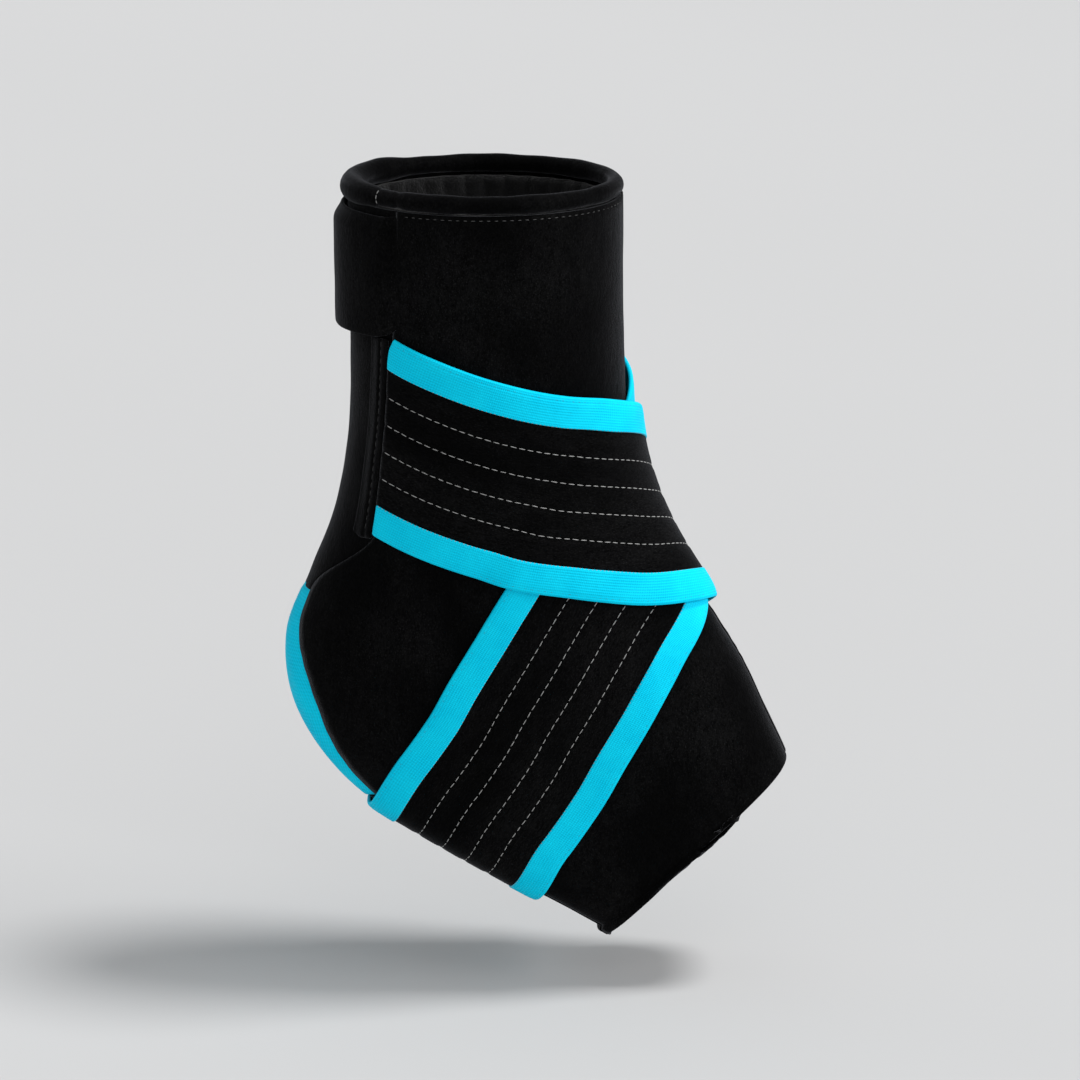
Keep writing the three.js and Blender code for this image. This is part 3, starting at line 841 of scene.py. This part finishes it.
class WRAP_OT_finishes(bpy.types.Operator):
    """Make the finishes that the pieces use"""

    bl_idname = "wrap.make_finishes"
    bl_label = "Finishes"

    def execute(self, context):
        colours = context.scene.wrap_colours
        make_pile(colours, "shell_pile", "Object", (1, 1, 0.6))
        make_pile(colours, "strap_pile", "UV", (0.4, 1, 1))
        make_binding(colours, "binding_tape", 1.05 * MM, 0.9 * MM)
        make_binding(colours, "heel_elastic", 1.3 * MM, 1.0 * MM)
        make_thread("quilting_thread", tuple(colours.thread))
        # Painted shade: the fold stitching's thread is the tape's blue darkened, to stand for the shade in
        # the stitch dimples.
        make_thread("binding_thread_painted_shade", shaded(colours.binding, 0.45))
        # Painted shade: the collar row's thread is the quilting thread darkened, to stand for the shade
        # beneath the collar roll.
        make_thread("collar_thread_painted_shade", shaded(colours.thread, 0.16))
        make_thread("dark_thread", shaded(colours.pile_tips, 0.9))
        make_thread("edge_thread", (0.5, 0.36, 0.3))
        make_lining(colours)
        make_gel(colours)
        make_hook_field(colours)
        make_backdrop(colours)
        return {"FINISHED"}


# ---------------------------------------------------------------- shell


def shell_relief(boot):
    """Depth of padded fabric: soft hollows, seams that pull its edges in, and a rounded
    fold at the toe."""

    def depth(along, around, from_edge):
        points = boot.skin(along, around)
        soft = layered_noise(points, PADDING)
        faint = 0.6 * ramp(*FAINT_SEAM[:2], along) * (1 - ramp(*FAINT_SEAM[2:], along))
        fold = TOE_TURN * ramp(TOE_FOLD - 0.2, TOE_FOLD, along) ** 2
        return soft - SEAM_TUCK * (1 - faint) * bump(from_edge, SEAM_REACH) - fold

    return depth


class WRAP_OT_shell(bpy.types.Operator):
    """Add the shell's side, back and sole panels and the elastic heel band"""

    bl_idname = "wrap.add_shell"
    bl_label = "Shell"

    def execute(self, context):
        boot = Boot(context.scene.wrap_sizes)
        cloth = dict(boot=boot, wall=SHELL_WALL, finish="shell_pile", slot="loop_pile")
        padded = dict(cloth, held=self.held_down(boot), limit=SHELL_SWELL)

        def outer_edge(along):
            leg, foot = boot.side_seam(along), boot.heel_edge(along)
            return np.where(along < ANKLE_SEAM, leg, foot) - 0.1

        def inner_edge(along):
            leg, foot = boot.inner_seam(along), 360 - boot.heel_edge(along)
            return np.where(along < ANKLE_SEAM, leg, foot) + 0.1

        sides = {"outer": (0.3, outer_edge), "inner": (inner_edge, 359.7)}
        for side, around in sides.items():
            piece = add_panel(
                f"{side}_shell", along=(SHELL_TOP, TOE_FOLD), around=around, cells=(160, 64),
                depth=self.side_depth(boot),
                replaces=(f"{side}_leg_shell", f"{side}_foot_shell"), **padded,
            )
        back = add_panel(
            "back_panel", along=(SHELL_TOP, ANKLE_SEAM), around=(boot.side_seam, boot.inner_seam),
            cells=(80, 40), depth=shell_relief(boot), replaces=("back_leg_panel",), **padded,
        )
        add_panel(
            "sole", along=(HEEL_BAND_END + 0.02, TOE_FOLD),
            around=(boot.heel_edge, lambda along: 360 - boot.heel_edge(along)), cells=(34, 18),
            depth=shell_relief(boot), replaces=("sole_panel",), **cloth,
        )
        self.add_heel_band(boot)
        return {"FINISHED"}

    def held_down(self, boot):
        """Where the shell can't swell: at its seams, under the strap and under the flap."""
        lines = [Strip(boot, path).line(np.linspace(0, 1, 160)) for path in (WRAP_PATH, CROSS_PATH)]
        spots = np.concatenate(lines)
        reach = boot.sizes.strap_width / 2 + STRAP_MARGIN

        def held(along, around, from_edge, points):
            strap = distance_to(spots, points) < reach
            ankle = (along > 3.9) & (along < 5.4)
            seam = from_edge < np.where(ankle, ANKLE_MARGIN, SEAM_MARGIN)
            ends = (along < 0.22) | (along > TOE_FOLD - 0.3)
            flap = (along < FLAP_RANGE[1] + 0.1) & (around > FLAP_END - 3) & (around < FLAP_ROOT + 3)
            beside_hem = (around > OUTER_HEM) & (around < OUTER_HEM + 34)
            placket = (along > PLACKET_RANGE[0] - 0.1) & beside_hem
            return strap | seam | ends | flap | placket

        return held

    def side_depth(self, boot):
        """Padding with short creases that run in from the heel's edge."""
        soft = shell_relief(boot)

        def depth(along, around, from_edge):
            heel = ramp(5.0, 5.6, along) * (1 - ramp(7.6, 8.4, along))
            creases = np.sin(along * 17 + 1.3 * np.sin(along * 5)) * bump(from_edge, 9 * MM)
            lip = 0.15 * MM * heel * bump(from_edge, 1.6 * MM)
            return soft(along, around, from_edge) + 0.1 * MM * heel * creases + lip

        return depth

    def add_heel_band(self, boot):
        def edge_over(along):
            return boot.heel_edge(along) - 0.2

        def depth(along, around, from_edge):
            crown = 1.1 * MM * ramp(0, 9 * MM, from_edge) - 0.5 * MM
            ends = ramp(ANKLE_SEAM, ANKLE_SEAM + 0.12, along) - 1
            return crown + 0.5 * MM * ends + 0.12 * MM * np.sin(along * 40) * bump(from_edge, 3 * MM)

        add_panel(
            "heel_band", boot=boot, along=(ANKLE_SEAM - 0.03, HEEL_BAND_END),
            around=(edge_over, lambda along: 360 - edge_over(along)), cells=(80, 26), depth=depth,
            wall=HEEL_BAND_WALL, finish="heel_elastic", slot="elastic_web", replaces=("heel_band",),
        )


# ---------------------------------------------------------------- collar and toe


def ring(boot, station, section, cells):
    """A ring round the boot. section(angle, turn) gives how far down and out each point is."""
    centre, axis = boot.section(np.array(float(station)))[:2]
    down = np.array([axis[1], 0, -axis[0]])

    def place(u, v):
        angle = u * 360
        below, out = section(angle, v * 2 * np.pi)
        points = boot.surface(station, angle, out) + down * below[:, None]
        flat = np.stack([np.radians(angle) * 45 * MM, v * 20 * MM], axis=-1)
        outward = boot.normal(np.full(len(u), float(station)), angle)
        return points, flat, outward

    return warped_grid(cells, place, closed=True)


class WRAP_OT_edges(bpy.types.Operator):
    """Add the padded roll round the collar, the toe hem, and their stitching"""

    bl_idname = "wrap.add_edges"
    bl_label = "Collar and Toe Edges"

    def execute(self, context):
        sizes = context.scene.wrap_sizes
        boot = Boot(sizes)
        self.add_collar_roll(boot, sizes.roll_radius)
        self.add_toe_hem(boot)
        self.add_edge_stitching(boot, sizes)
        return {"FINISHED"}

    def add_collar_roll(self, boot, radius):
        """A lumpy roll, creased over the outer hem and thicker over the flap."""
        crease = OUTER_HEM

        def section(angle, turn):
            lumps = 0.04 * np.sin(np.radians(angle * 7)) + 0.024 * np.sin(np.radians(angle * 17 + 40))
            pinch = 0.16 * bump(angle - crease, 1.6) + 0.1 * bump(angle - crease - 11, 1.2)
            over_flap = ramp(crease + 4, crease + 30, angle) * (1 - ramp(210, 232, angle))
            thicker = ROLL_OVER_FLAP * over_flap
            size = radius * (1 + lumps - pinch) + thicker
            middle = ROLL_PROUD + thicker - radius
            return np.cos(turn) * size * 1.05, middle + np.sin(turn) * size * 0.96

        bm = ring(boot, 0, section, (260, 20))
        roll = add_piece("collar_roll", bm, "shell_pile", "boot", "loop_pile", ("collar_roll",))

    def add_toe_hem(self, boot):
        middle, half_depth = np.mean(HEM_DEPTHS), (HEM_DEPTHS[0] - HEM_DEPTHS[1]) / 2

        def section(angle, turn):
            across = np.sign(np.cos(turn)) * np.abs(np.cos(turn)) ** HEM_ROUNDNESS
            upward = np.sign(np.sin(turn)) * np.abs(np.sin(turn)) ** HEM_ROUNDNESS
            return HEM_WIDTH / 2 * (across - 1) - HEM_INSET, middle + upward * half_depth

        bm = ring(boot, TOE_STATION, section, (220, 20))
        add_piece("toe_hem", bm, "shell_pile", "boot", "loop_pile", ("toe_hem",))

    def add_edge_stitching(self, boot, sizes):
        """A fine row under the roll, and the stitches that close the roll's end."""
        angle = np.linspace(-130, FLAP_END - 1, 500)
        below_roll = np.full(len(angle), 0.118)
        run = (boot.surface(below_roll, angle, 0.1 * MM), boot.normal(below_roll, angle))
        # Its thread is darkened to paint the shade beneath the roll.
        add_stitching(
            "collar_stitching", [run], 1.5 * MM, 1.5 * MM, sizes.thread_radius * 0.6, "collar_thread_painted_shade"
        )
        turn = np.linspace(0.55, 2.5, 12)
        seam = np.full(len(turn), OUTER_HEM + 11.0)
        collar = np.zeros(len(turn))
        radius = sizes.roll_radius
        points = boot.surface(collar, seam, ROLL_PROUD - radius + np.sin(turn) * radius * 0.97)
        points[:, 2] += np.cos(turn) * radius * 1.02
        normals = boot.normal(collar, seam)
        add_stitching(
            "roll_end_stitching", [(points, normals)], 1.6 * MM, 0.5 * MM, sizes.thread_radius * 0.9,
            "quilting_thread",
        )


# ---------------------------------------------------------------- lining and gel packs


class WRAP_OT_lining(bpy.types.Operator):
    """Add the plush lining, whose upper edge is gathered inside the collar"""

    bl_idname = "wrap.add_lining"
    bl_label = "Plush Lining"

    def execute(self, context):
        boot = Boot(context.scene.wrap_sizes)

        def depth(along, around, from_edge):
            level = mix(LEG_LINER_TOP, TOE_LINER_TOP, ramp(7.9, 8.9, along))
            top = 1 - ramp(0.05, 0.75, along)
            points = boot.skin(along, around)
            gathers = cloth_noise(points, 7 * MM, 4.0) + 0.5 * np.sin(np.radians(around * 31))
            level = mix(level, COLLAR_LINER_TOP, top)
            folds = 0.5 * MM * cloth_noise(points, 14 * MM, 2.0)
            return level + folds + 1.0 * MM * gathers * bump(along - 0.16, 0.16)

        for side, around in {"outer": (0.2, 179.8), "inner": (180.2, 359.8)}.items():
            piece = add_panel(
                f"{side}_lining", boot=boot, along=(0.1, SHELL_END), around=around, depth=depth,
                cells=(150, 80), wall=LINER_WALL, finish="plush_lining", slot="plush",
                replaces=(f"{side}_leg_liner", f"{side}_foot_liner"),
            )
        return {"FINISHED"}


class WRAP_OT_gel_packs(bpy.types.Operator):
    """Add the four gel packs between shell and lining"""

    bl_idname = "wrap.add_gel_packs"
    bl_label = "Gel Packs"

    def execute(self, context):
        boot = Boot(context.scene.wrap_sizes)
        for region, (along, around) in GEL_PACKS.items():
            sides = {"outer": around, "inner": (360 - around[1], 360 - around[0])}
            for side, angles in sides.items():

                def depth(station, angle, from_edge, along=along):
                    from_end = np.minimum(station - along[0], along[1] - station) * 25 * MM
                    rim = np.minimum(from_edge, from_end)
                    weld = 1.6 * MM * bump(rim, 4 * MM)
                    groove = 0.5 * MM * bump(rim - 6 * MM, 1.2 * MM)
                    return GEL_TOP - weld - groove

                piece = add_panel(
                    f"{side}_{region}_gel_pack", boot=boot, along=along, around=angles, depth=depth,
                    cells=(30, 26), wall=GEL_WALL, finish="gel_film", slot="gel",
                    replaces=(f"{side}_{region}_gel",), rounded=1,
                )
        return {"FINISHED"}


# ---------------------------------------------------------------- strap


class StrapRun:
    """One run of the strap over the boot, with its ends and its lift off the shell."""

    def __init__(self, boot, path, start, end, over=None):
        self.boot = boot
        self.strip = Strip(boot, path)
        self.levels = np.linspace(-0.5, 0.5, 17) * boot.sizes.strap_width
        self.ends = [self.trim(start), self.trim(end)]
        self.over = over

    def trim(self, end):
        """Shares of an end at each level across: a number, or (kept, lost, test) for a cut."""
        if not isinstance(end, tuple):
            return np.full(len(self.levels), float(end))
        return self.strip.cut(self.levels, *end)

    def share(self, u, across):
        start, end = (np.interp(across, self.levels, shares) for shares in self.ends)
        return mix(start, end, u)

    def lift(self, points, along, around):
        """Close to the shell, off the sole's edges, and over the run that lies beneath."""
        sole = ramp(ANKLE_SEAM, ANKLE_SEAM + 1, along) * ramp(110, 145, np.abs(around))
        level = STRAP_LIFT + SOLE_STAND_OFF * sole
        if self.over is None:
            return level
        nearest = distance_to(self.over.strip.line(np.linspace(*CROSSING_RUN, 120)), points)
        edge = self.boot.sizes.strap_width / 2
        raised = 1 - ramp(edge - 1 * MM, edge + 13 * MM, nearest)
        raised = raised * (1 - ramp(6.4, 7.6, along))
        return level + (self.boot.sizes.binding_thickness + 0.2 * MM) * raised

    def lay(self, share, across, height):
        """Points, flat coordinates and normals at a height over the strap's underside."""
        along, around = self.strip.place(share, across)
        points = self.boot.skin(along, around)
        depth = self.lift(points, along, around) + height
        points = self.boot.surface(along, around, depth)
        flat = np.stack([share * self.strip.length, across], axis=-1)
        return points, flat, self.boot.normal(along, around)


class WRAP_OT_strap(bpy.types.Operator):
    """Add both runs of the strap with bindings and quilting, and the placket"""

    bl_idname = "wrap.add_strap"
    bl_label = "Strap"

    def execute(self, context):
        sizes = context.scene.wrap_sizes
        boot = Boot(sizes)

        def outer_half(along, around, points):
            return points[:, 1] < -0.3 * MM

        def inner_half(along, around, points):
            return points[:, 1] > 0.3 * MM

        def clear_of_placket(along, around, points):
            return around < OUTER_HEM + HEM_LEAN * along - 0.5

        cross = StrapRun(boot, CROSS_PATH, (0.15, 0, outer_half), STRAP_END)
        wrap = StrapRun(
            boot, WRAP_PATH, (0.2, 0, clear_of_placket), (0.85, 1, inner_half), over=cross
        )
        for name, run in {"ankle_strap": wrap, "instep_strap": cross}.items():
            self.add_web(name, run, sizes)
            self.add_bindings(name, run, sizes)
        self.add_placket(boot, sizes)
        return {"FINISHED"}

    def quilt_rows(self, sizes):
        """Distances across the web of the quilted rows."""
        half_web = sizes.strap_width / 2 - sizes.binding_width
        rows = sizes.stitch_rows
        return [(2 * (row + 1) / (rows + 1) - 1) * half_web for row in range(rows)]

    def add_web(self, name, run, sizes):
        half_web = sizes.strap_width / 2 - sizes.binding_width + 1 * MM
        rows = self.quilt_rows(sizes)

        def height_at(share, across):
            """Web height: quilted in along each row, and softly uneven."""
            flat = np.stack([share * run.strip.length, across, 0 * across], axis=-1)
            ripples = 0.1 * MM * cloth_noise(flat, 9 * MM, 6.0)
            uneven = ripples + 0.2 * MM * cloth_noise(flat, 28 * MM, 1.0)
            quilting = sum(QUILT_TUCK * bump(across - row, QUILT_REACH) for row in rows)
            return sizes.strap_thickness + 0.2 * MM + uneven - quilting

        def place(u, v):
            across = mix(-half_web, half_web, v)
            share = run.share(u, across)
            return run.lay(share, across, height_at(share, across))

        nodes = (f"{name}_web",)
        piece = add_piece(
            f"{name}_web", warped_grid((250, 54), place), "strap_pile", "boot", "elastic_web", nodes
        )
        thicken(piece, sizes.strap_thickness * 0.9)
        runs = []
        u = np.linspace(0.003, 0.997, 420)
        for row in rows:
            across = np.full(len(u), row)
            share = run.share(u, across)
            points, flat, normals = run.lay(share, across, height_at(share, across) + 0.05 * MM)
            runs.append((points, normals))
        add_stitching(
            f"{name}_quilting", runs, sizes.stitch_length, sizes.stitch_gap, sizes.thread_radius,
            "quilting_thread", slot="elastic_web",
        )

    def add_bindings(self, name, run, sizes):
        edge = sizes.strap_width / 2
        for side, sign in {"upper": 1, "lower": -1}.items():

            def height_at(from_fold, run_length):
                """Tape height: rolled over the fold, and pulled in along its stitch line."""
                fold = 1.1 * MM * (1 - ramp(0, 1.3 * MM, from_fold))
                seam = 0.42 * MM * bump(from_fold - FOLD_STITCH_INSET, 0.55 * MM)
                seam = seam * (0.75 + 0.25 * np.cos(2 * np.pi * run_length / (2.6 * MM)))
                wave = 0.1 * MM * np.sin(run_length / (9 * MM)) * (from_fold > 1 * MM)
                return sizes.binding_thickness + 0.15 * MM - fold - seam + wave

            def place(u, v, sign=sign, height_at=height_at):
                from_fold = v * sizes.binding_width
                across = sign * (edge - from_fold)
                share = run.share(u, across)
                height = height_at(from_fold, share * run.strip.length)
                return run.lay(share, across, height)

            bm = warped_grid((230, 16), place)
            full_name = f"{name}_{side}_binding"
            piece = add_piece(full_name, bm, "binding_tape", "boot", "binding", (full_name,))
            thicken(piece, sizes.binding_thickness - 1.0 * MM, rounded=1)
            self.add_binding_stitching(f"{name}_{side}", run, sizes, sign * edge, sign, height_at)

    def add_binding_stitching(self, name, run, sizes, edge, sign, height_at):
        u = np.linspace(0.003, 0.997, 420)

        def line(from_fold, extra):
            across = np.full(len(u), edge - sign * from_fold)
            share = run.share(u, across)
            height = height_at(np.full(len(u), from_fold), share * run.strip.length) + extra
            points, flat, normals = run.lay(share, across, height)
            return points, normals

        # The fold row's thread is darkened to paint the shade in its stitch dimples.
        add_stitching(
            f"{name}_fold_stitching", [line(FOLD_STITCH_INSET, 0.02 * MM)], 1.4 * MM, 1.2 * MM,
            sizes.thread_radius * 0.6, "binding_thread_painted_shade", slot="binding",
        )
        inner_edge = line(sizes.binding_width - 0.25 * MM, -0.35 * MM)
        add_stitching(
            f"{name}_edge_stitching", [inner_edge], 0.9 * MM, 0.8 * MM,
            sizes.thread_radius * 0.8, "edge_thread", slot="binding",
        )

    def add_placket(self, boot, sizes):
        def near_edge(along):
            return OUTER_HEM + HEM_LEAN * along

        def far_edge(along):
            return near_edge(along) + boot.degrees_for(PLACKET_WIDTH, along)

        def depth(along, around, from_edge):
            from_front = np.radians(around - near_edge(along)) * boot.section(along)[2]
            body = PLACKET_HEIGHT * (1 - ramp(3 * MM, PLACKET_WIDTH, from_front)) + 0.3 * MM
            seam = 0.7 * MM * bump(from_front - PLACKET_SEAM, 0.8 * MM)
            end = 1.4 * MM * bump(along - PLACKET_RANGE[1], 0.05)
            points = boot.skin(along, around)
            return body - seam - end + 0.12 * MM * cloth_noise(points, 6 * MM, 12.0)

        add_panel(
            "strap_placket", boot=boot, along=PLACKET_RANGE, around=(near_edge, far_edge), depth=depth,
            cells=(60, 12), wall=PLACKET_WALL, finish="shell_pile", slot="loop_pile",
            replaces=("strap_anchor_placket",), rounded=1,
        )
        along = np.linspace(PLACKET_RANGE[0] + 0.03, PLACKET_RANGE[1] - 0.06, 200)
        angle = near_edge(along) + boot.degrees_for(PLACKET_SEAM, along)
        run = (boot.surface(along, angle, 1.75 * MM), boot.normal(along, angle))
        add_stitching(
            "placket_stitching", [run], 2.4 * MM, 1.0 * MM, sizes.thread_radius * 0.8, "dark_thread"
        )


# ---------------------------------------------------------------- closures


def corner_inset(radius, distance):
    """How far a rounded corner draws an edge in, at a distance from the edge beside it."""
    rise = radius - np.minimum(distance, radius)
    return radius - np.sqrt(radius**2 - rise**2)


class WRAP_OT_closures(bpy.types.Operator):
    """Add the collar flap, the tab at the strap's end, and their hook pads"""

    bl_idname = "wrap.add_closures"
    bl_label = "Closures"

    def execute(self, context):
        boot = Boot(context.scene.wrap_sizes)
        self.add_flap(boot)
        self.add_tab(boot)
        return {"FINISHED"}

    def add_flap(self, boot):
        back = boot.skin(np.array([0.0, 1.0]), np.array([180.0, 180.0]))
        step = arc_lengths(back)[-1]

        def free_end(along):
            inset = corner_inset(FLAP_CORNER, (FLAP_RANGE[1] - along) * step)
            return FLAP_END + boot.degrees_for(inset, along)

        def depth(along, around, from_edge):
            points = boot.skin(along, around)
            rise = mix(FLAP_END_HEIGHT, FLAP_PAD_HEIGHT, ramp(FLAP_END, FLAP_END + 7.5, around))
            rise = rise + FLAP_BACK_RISE * ramp(FLAP_END + 7, FLAP_END + 36, around)
            root = FLAP_ROOT_DROP * ramp(FLAP_ROOT - 14, FLAP_ROOT, around)
            top = 1 - ramp(FLAP_RANGE[0], FLAP_RANGE[0] + 0.14, along)
            wave = 0.3 * MM * cloth_noise(points, 16 * MM, 7.0)
            return mix(rise, np.minimum(rise, FLAP_TOP_HEIGHT), top) - root + wave

        def held(along, around, from_edge, points):
            ends = (along < FLAP_RANGE[0] + 0.1) | (along > FLAP_RANGE[1] - 0.1)
            return (from_edge < FLAP_MARGIN) | ends

        flap = add_panel(
            "collar_flap_cover", boot=boot, along=FLAP_RANGE, around=(free_end, FLAP_ROOT), depth=depth,
            cells=(40, 68), wall=FLAP_WALL, finish="shell_pile", slot="loop_pile", body="collar_closure",
            replaces=("collar_flap",), rounded=1, held=held, limit=FLAP_SWELL,
        )
        self.add_flap_hooks(boot, HOOK_MARGIN / step)

    def add_flap_hooks(self, boot, margin):
        """The hook pad inside the flap's free end, a margin in stations from its edges."""
        collar = np.array(0.0)
        start = FLAP_END + float(boot.degrees_for(HOOK_MARGIN, collar))
        end = start + float(boot.degrees_for(FLAP_HOOK_LENGTH, collar))
        add_panel(
            "collar_flap_hooks", boot=boot, along=(FLAP_RANGE[0] + margin, FLAP_RANGE[1] - margin),
            around=(start, end), depth=lambda along, around, from_edge: FLAP_HOOK_HEIGHT + 0 * along,
            cells=(20, 14), wall=HOOK_WALL, finish="hook_field", slot="hook", body="collar_closure",
            replaces=("collar_flap_hook_pad",),
        )

    def add_tab(self, boot):
        strip = Strip(boot, CROSS_PATH)
        shares = np.linspace(STRAP_END, 1.15, 200)
        arc = arc_lengths(strip.line(shares))

        def lay(travel, across, height):
            share = np.interp(travel + TAB_GAP, arc, shares)
            along, around = strip.place(share, across)
            flat = np.stack([travel, across], axis=-1)
            return boot.surface(along, around, height), flat, boot.normal(along, around)

        def tab_place(u, v):
            travel = u * TAB_LENGTH
            half = TAB_WIDTH / 2 - corner_inset(TAB_CORNER, TAB_LENGTH - travel)
            across = mix(-half, half, v)
            flat = np.stack([travel, across, 0 * travel], axis=-1)
            height = TAB_HEIGHT + 0.25 * MM * cloth_noise(flat, 15 * MM, 3.0)
            return lay(travel, across, height)

        tab = add_piece(
            "strap_tab", warped_grid((26, 30), tab_place), "strap_pile", "strap_closure", "elastic_web",
            ("strap_end_tab",),
        )
        thicken(tab, TAB_WALL, rounded=2)

        def pad_place(u, v):
            travel = TAB_LENGTH - HOOK_MARGIN - u * TAB_HOOK_LENGTH
            across = (v - 0.5) * TAB_HOOK_WIDTH
            return lay(travel, across, TAB_HOOK_HEIGHT + 0 * travel)

        pad = add_piece(
            "strap_tab_hooks", warped_grid((20, 22), pad_place), "hook_field", "strap_closure", "hook",
            ("strap_end_hook_pad",),
        )
        thicken(pad, HOOK_WALL)


# ---------------------------------------------------------------- studio


class WRAP_OT_stage(bpy.types.Operator):
    """Add the floor, the lights and the camera"""

    bl_idname = "wrap.add_stage"
    bl_label = "Studio"

    floor_drop = 0.021
    floor_size = 30
    air_colour = (0.97, 0.985, 1.0, 1)
    air_strength = 0.4
    # Each sun's name, direction, strength and spread in degrees.
    suns = (
        ("overhead", (0.42, 0.0, 1.0), 1.9, 13),
        ("front_fill", (0.35, -1.0, 0.5), 0.8, 70),
        ("right_rim", (1.0, -0.22, 0.42), 1.3, 30),
        ("left_rim", (-1.0, 0.4, 0.2), 0.2, 40),
    )
    camera_target = Vector((0.024, 0, 0.0208))
    camera_distance = 2.0
    camera_tilt = math.radians(15.7)
    camera_sensor = 36
    camera_lens = 166.67

    def execute(self, context):
        scene = context.scene
        self.add_floor(scene)
        self.add_lights(scene)
        self.add_camera(scene)
        scene.view_settings.view_transform = "Standard"
        return {"FINISHED"}

    def add_floor(self, scene):
        bm = bmesh.new()
        bmesh.ops.create_grid(bm, x_segments=2, y_segments=2, size=self.floor_size)
        bmesh.ops.translate(bm, verts=bm.verts, vec=(0, 0, FRAME_BOX[0][2] - self.floor_drop))
        mesh = bpy.data.meshes.new("studio_floor")
        bm.to_mesh(mesh)
        bm.free()
        mesh.materials.append(bpy.data.materials["studio_paper"])
        floor = bpy.data.objects.new("studio_floor", mesh)
        scene.collection.objects.link(floor)
        floor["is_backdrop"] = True

    def add_lights(self, scene):
        world = bpy.data.worlds.new("studio_air")
        scene.world = world
        world.use_nodes = True
        background = world.node_tree.nodes["Background"]
        background.inputs["Color"].default_value = self.air_colour
        background.inputs["Strength"].default_value = self.air_strength
        for name, direction, strength, spread in self.suns:
            light = bpy.data.lights.new(name, "SUN")
            light.energy = strength
            light.angle = math.radians(spread)
            lamp = bpy.data.objects.new(name, light)
            lamp.rotation_euler = Vector(direction).to_track_quat("Z", "Y").to_euler()
            scene.collection.objects.link(lamp)

    def add_camera(self, scene):
        camera = bpy.data.cameras.new("studio_camera")
        camera.sensor_width = self.camera_sensor
        camera.lens = self.camera_lens
        mount = bpy.data.objects.new("studio_camera", camera)
        back = Vector((0, -math.cos(self.camera_tilt), math.sin(self.camera_tilt)))
        mount.location = self.camera_target + back * self.camera_distance
        mount.rotation_euler = back.to_track_quat("Z", "Y").to_euler()
        scene.collection.objects.link(mount)
        scene.camera = mount


OPERATORS = (
    WRAP_OT_finishes,
    WRAP_OT_shell,
    WRAP_OT_edges,
    WRAP_OT_lining,
    WRAP_OT_gel_packs,
    WRAP_OT_strap,
    WRAP_OT_closures,
    WRAP_OT_stage,
)


class WRAP_PT_pieces(bpy.types.Panel):
    """Sizes, colours and pieces of the ankle wrap"""

    bl_idname = "WRAP_PT_pieces"
    bl_label = "Ankle Wrap"
    bl_space_type = "VIEW_3D"
    bl_region_type = "UI"
    bl_category = "Ankle Wrap"

    def draw(self, context):
        layout = self.layout
        for group in (context.scene.wrap_sizes, context.scene.wrap_colours):
            for name in group.__annotations__:
                layout.prop(group, name)
        for operator in OPERATORS:
            layout.operator(operator.bl_idname)


CLASSES = (WrapSizes, WrapColours, *OPERATORS, WRAP_PT_pieces)


def register():
    for cls in CLASSES:
        bpy.utils.register_class(cls)
    bpy.types.Scene.wrap_sizes = PointerProperty(type=WrapSizes)
    bpy.types.Scene.wrap_colours = PointerProperty(type=WrapColours)


def unregister():
    del bpy.types.Scene.wrap_colours
    del bpy.types.Scene.wrap_sizes
    for cls in reversed(CLASSES):
        bpy.utils.unregister_class(cls)


def main():
    register()
    for operator in OPERATORS:
        group, action = operator.bl_idname.split(".")
        getattr(getattr(bpy.ops, group), action)()
    boxes = {"frame": FRAME_BOX, "visual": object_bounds()}
    {name: [list(corner) for corner in box] for name, box in boxes.items()}


if __name__ == "__main__":
    main()
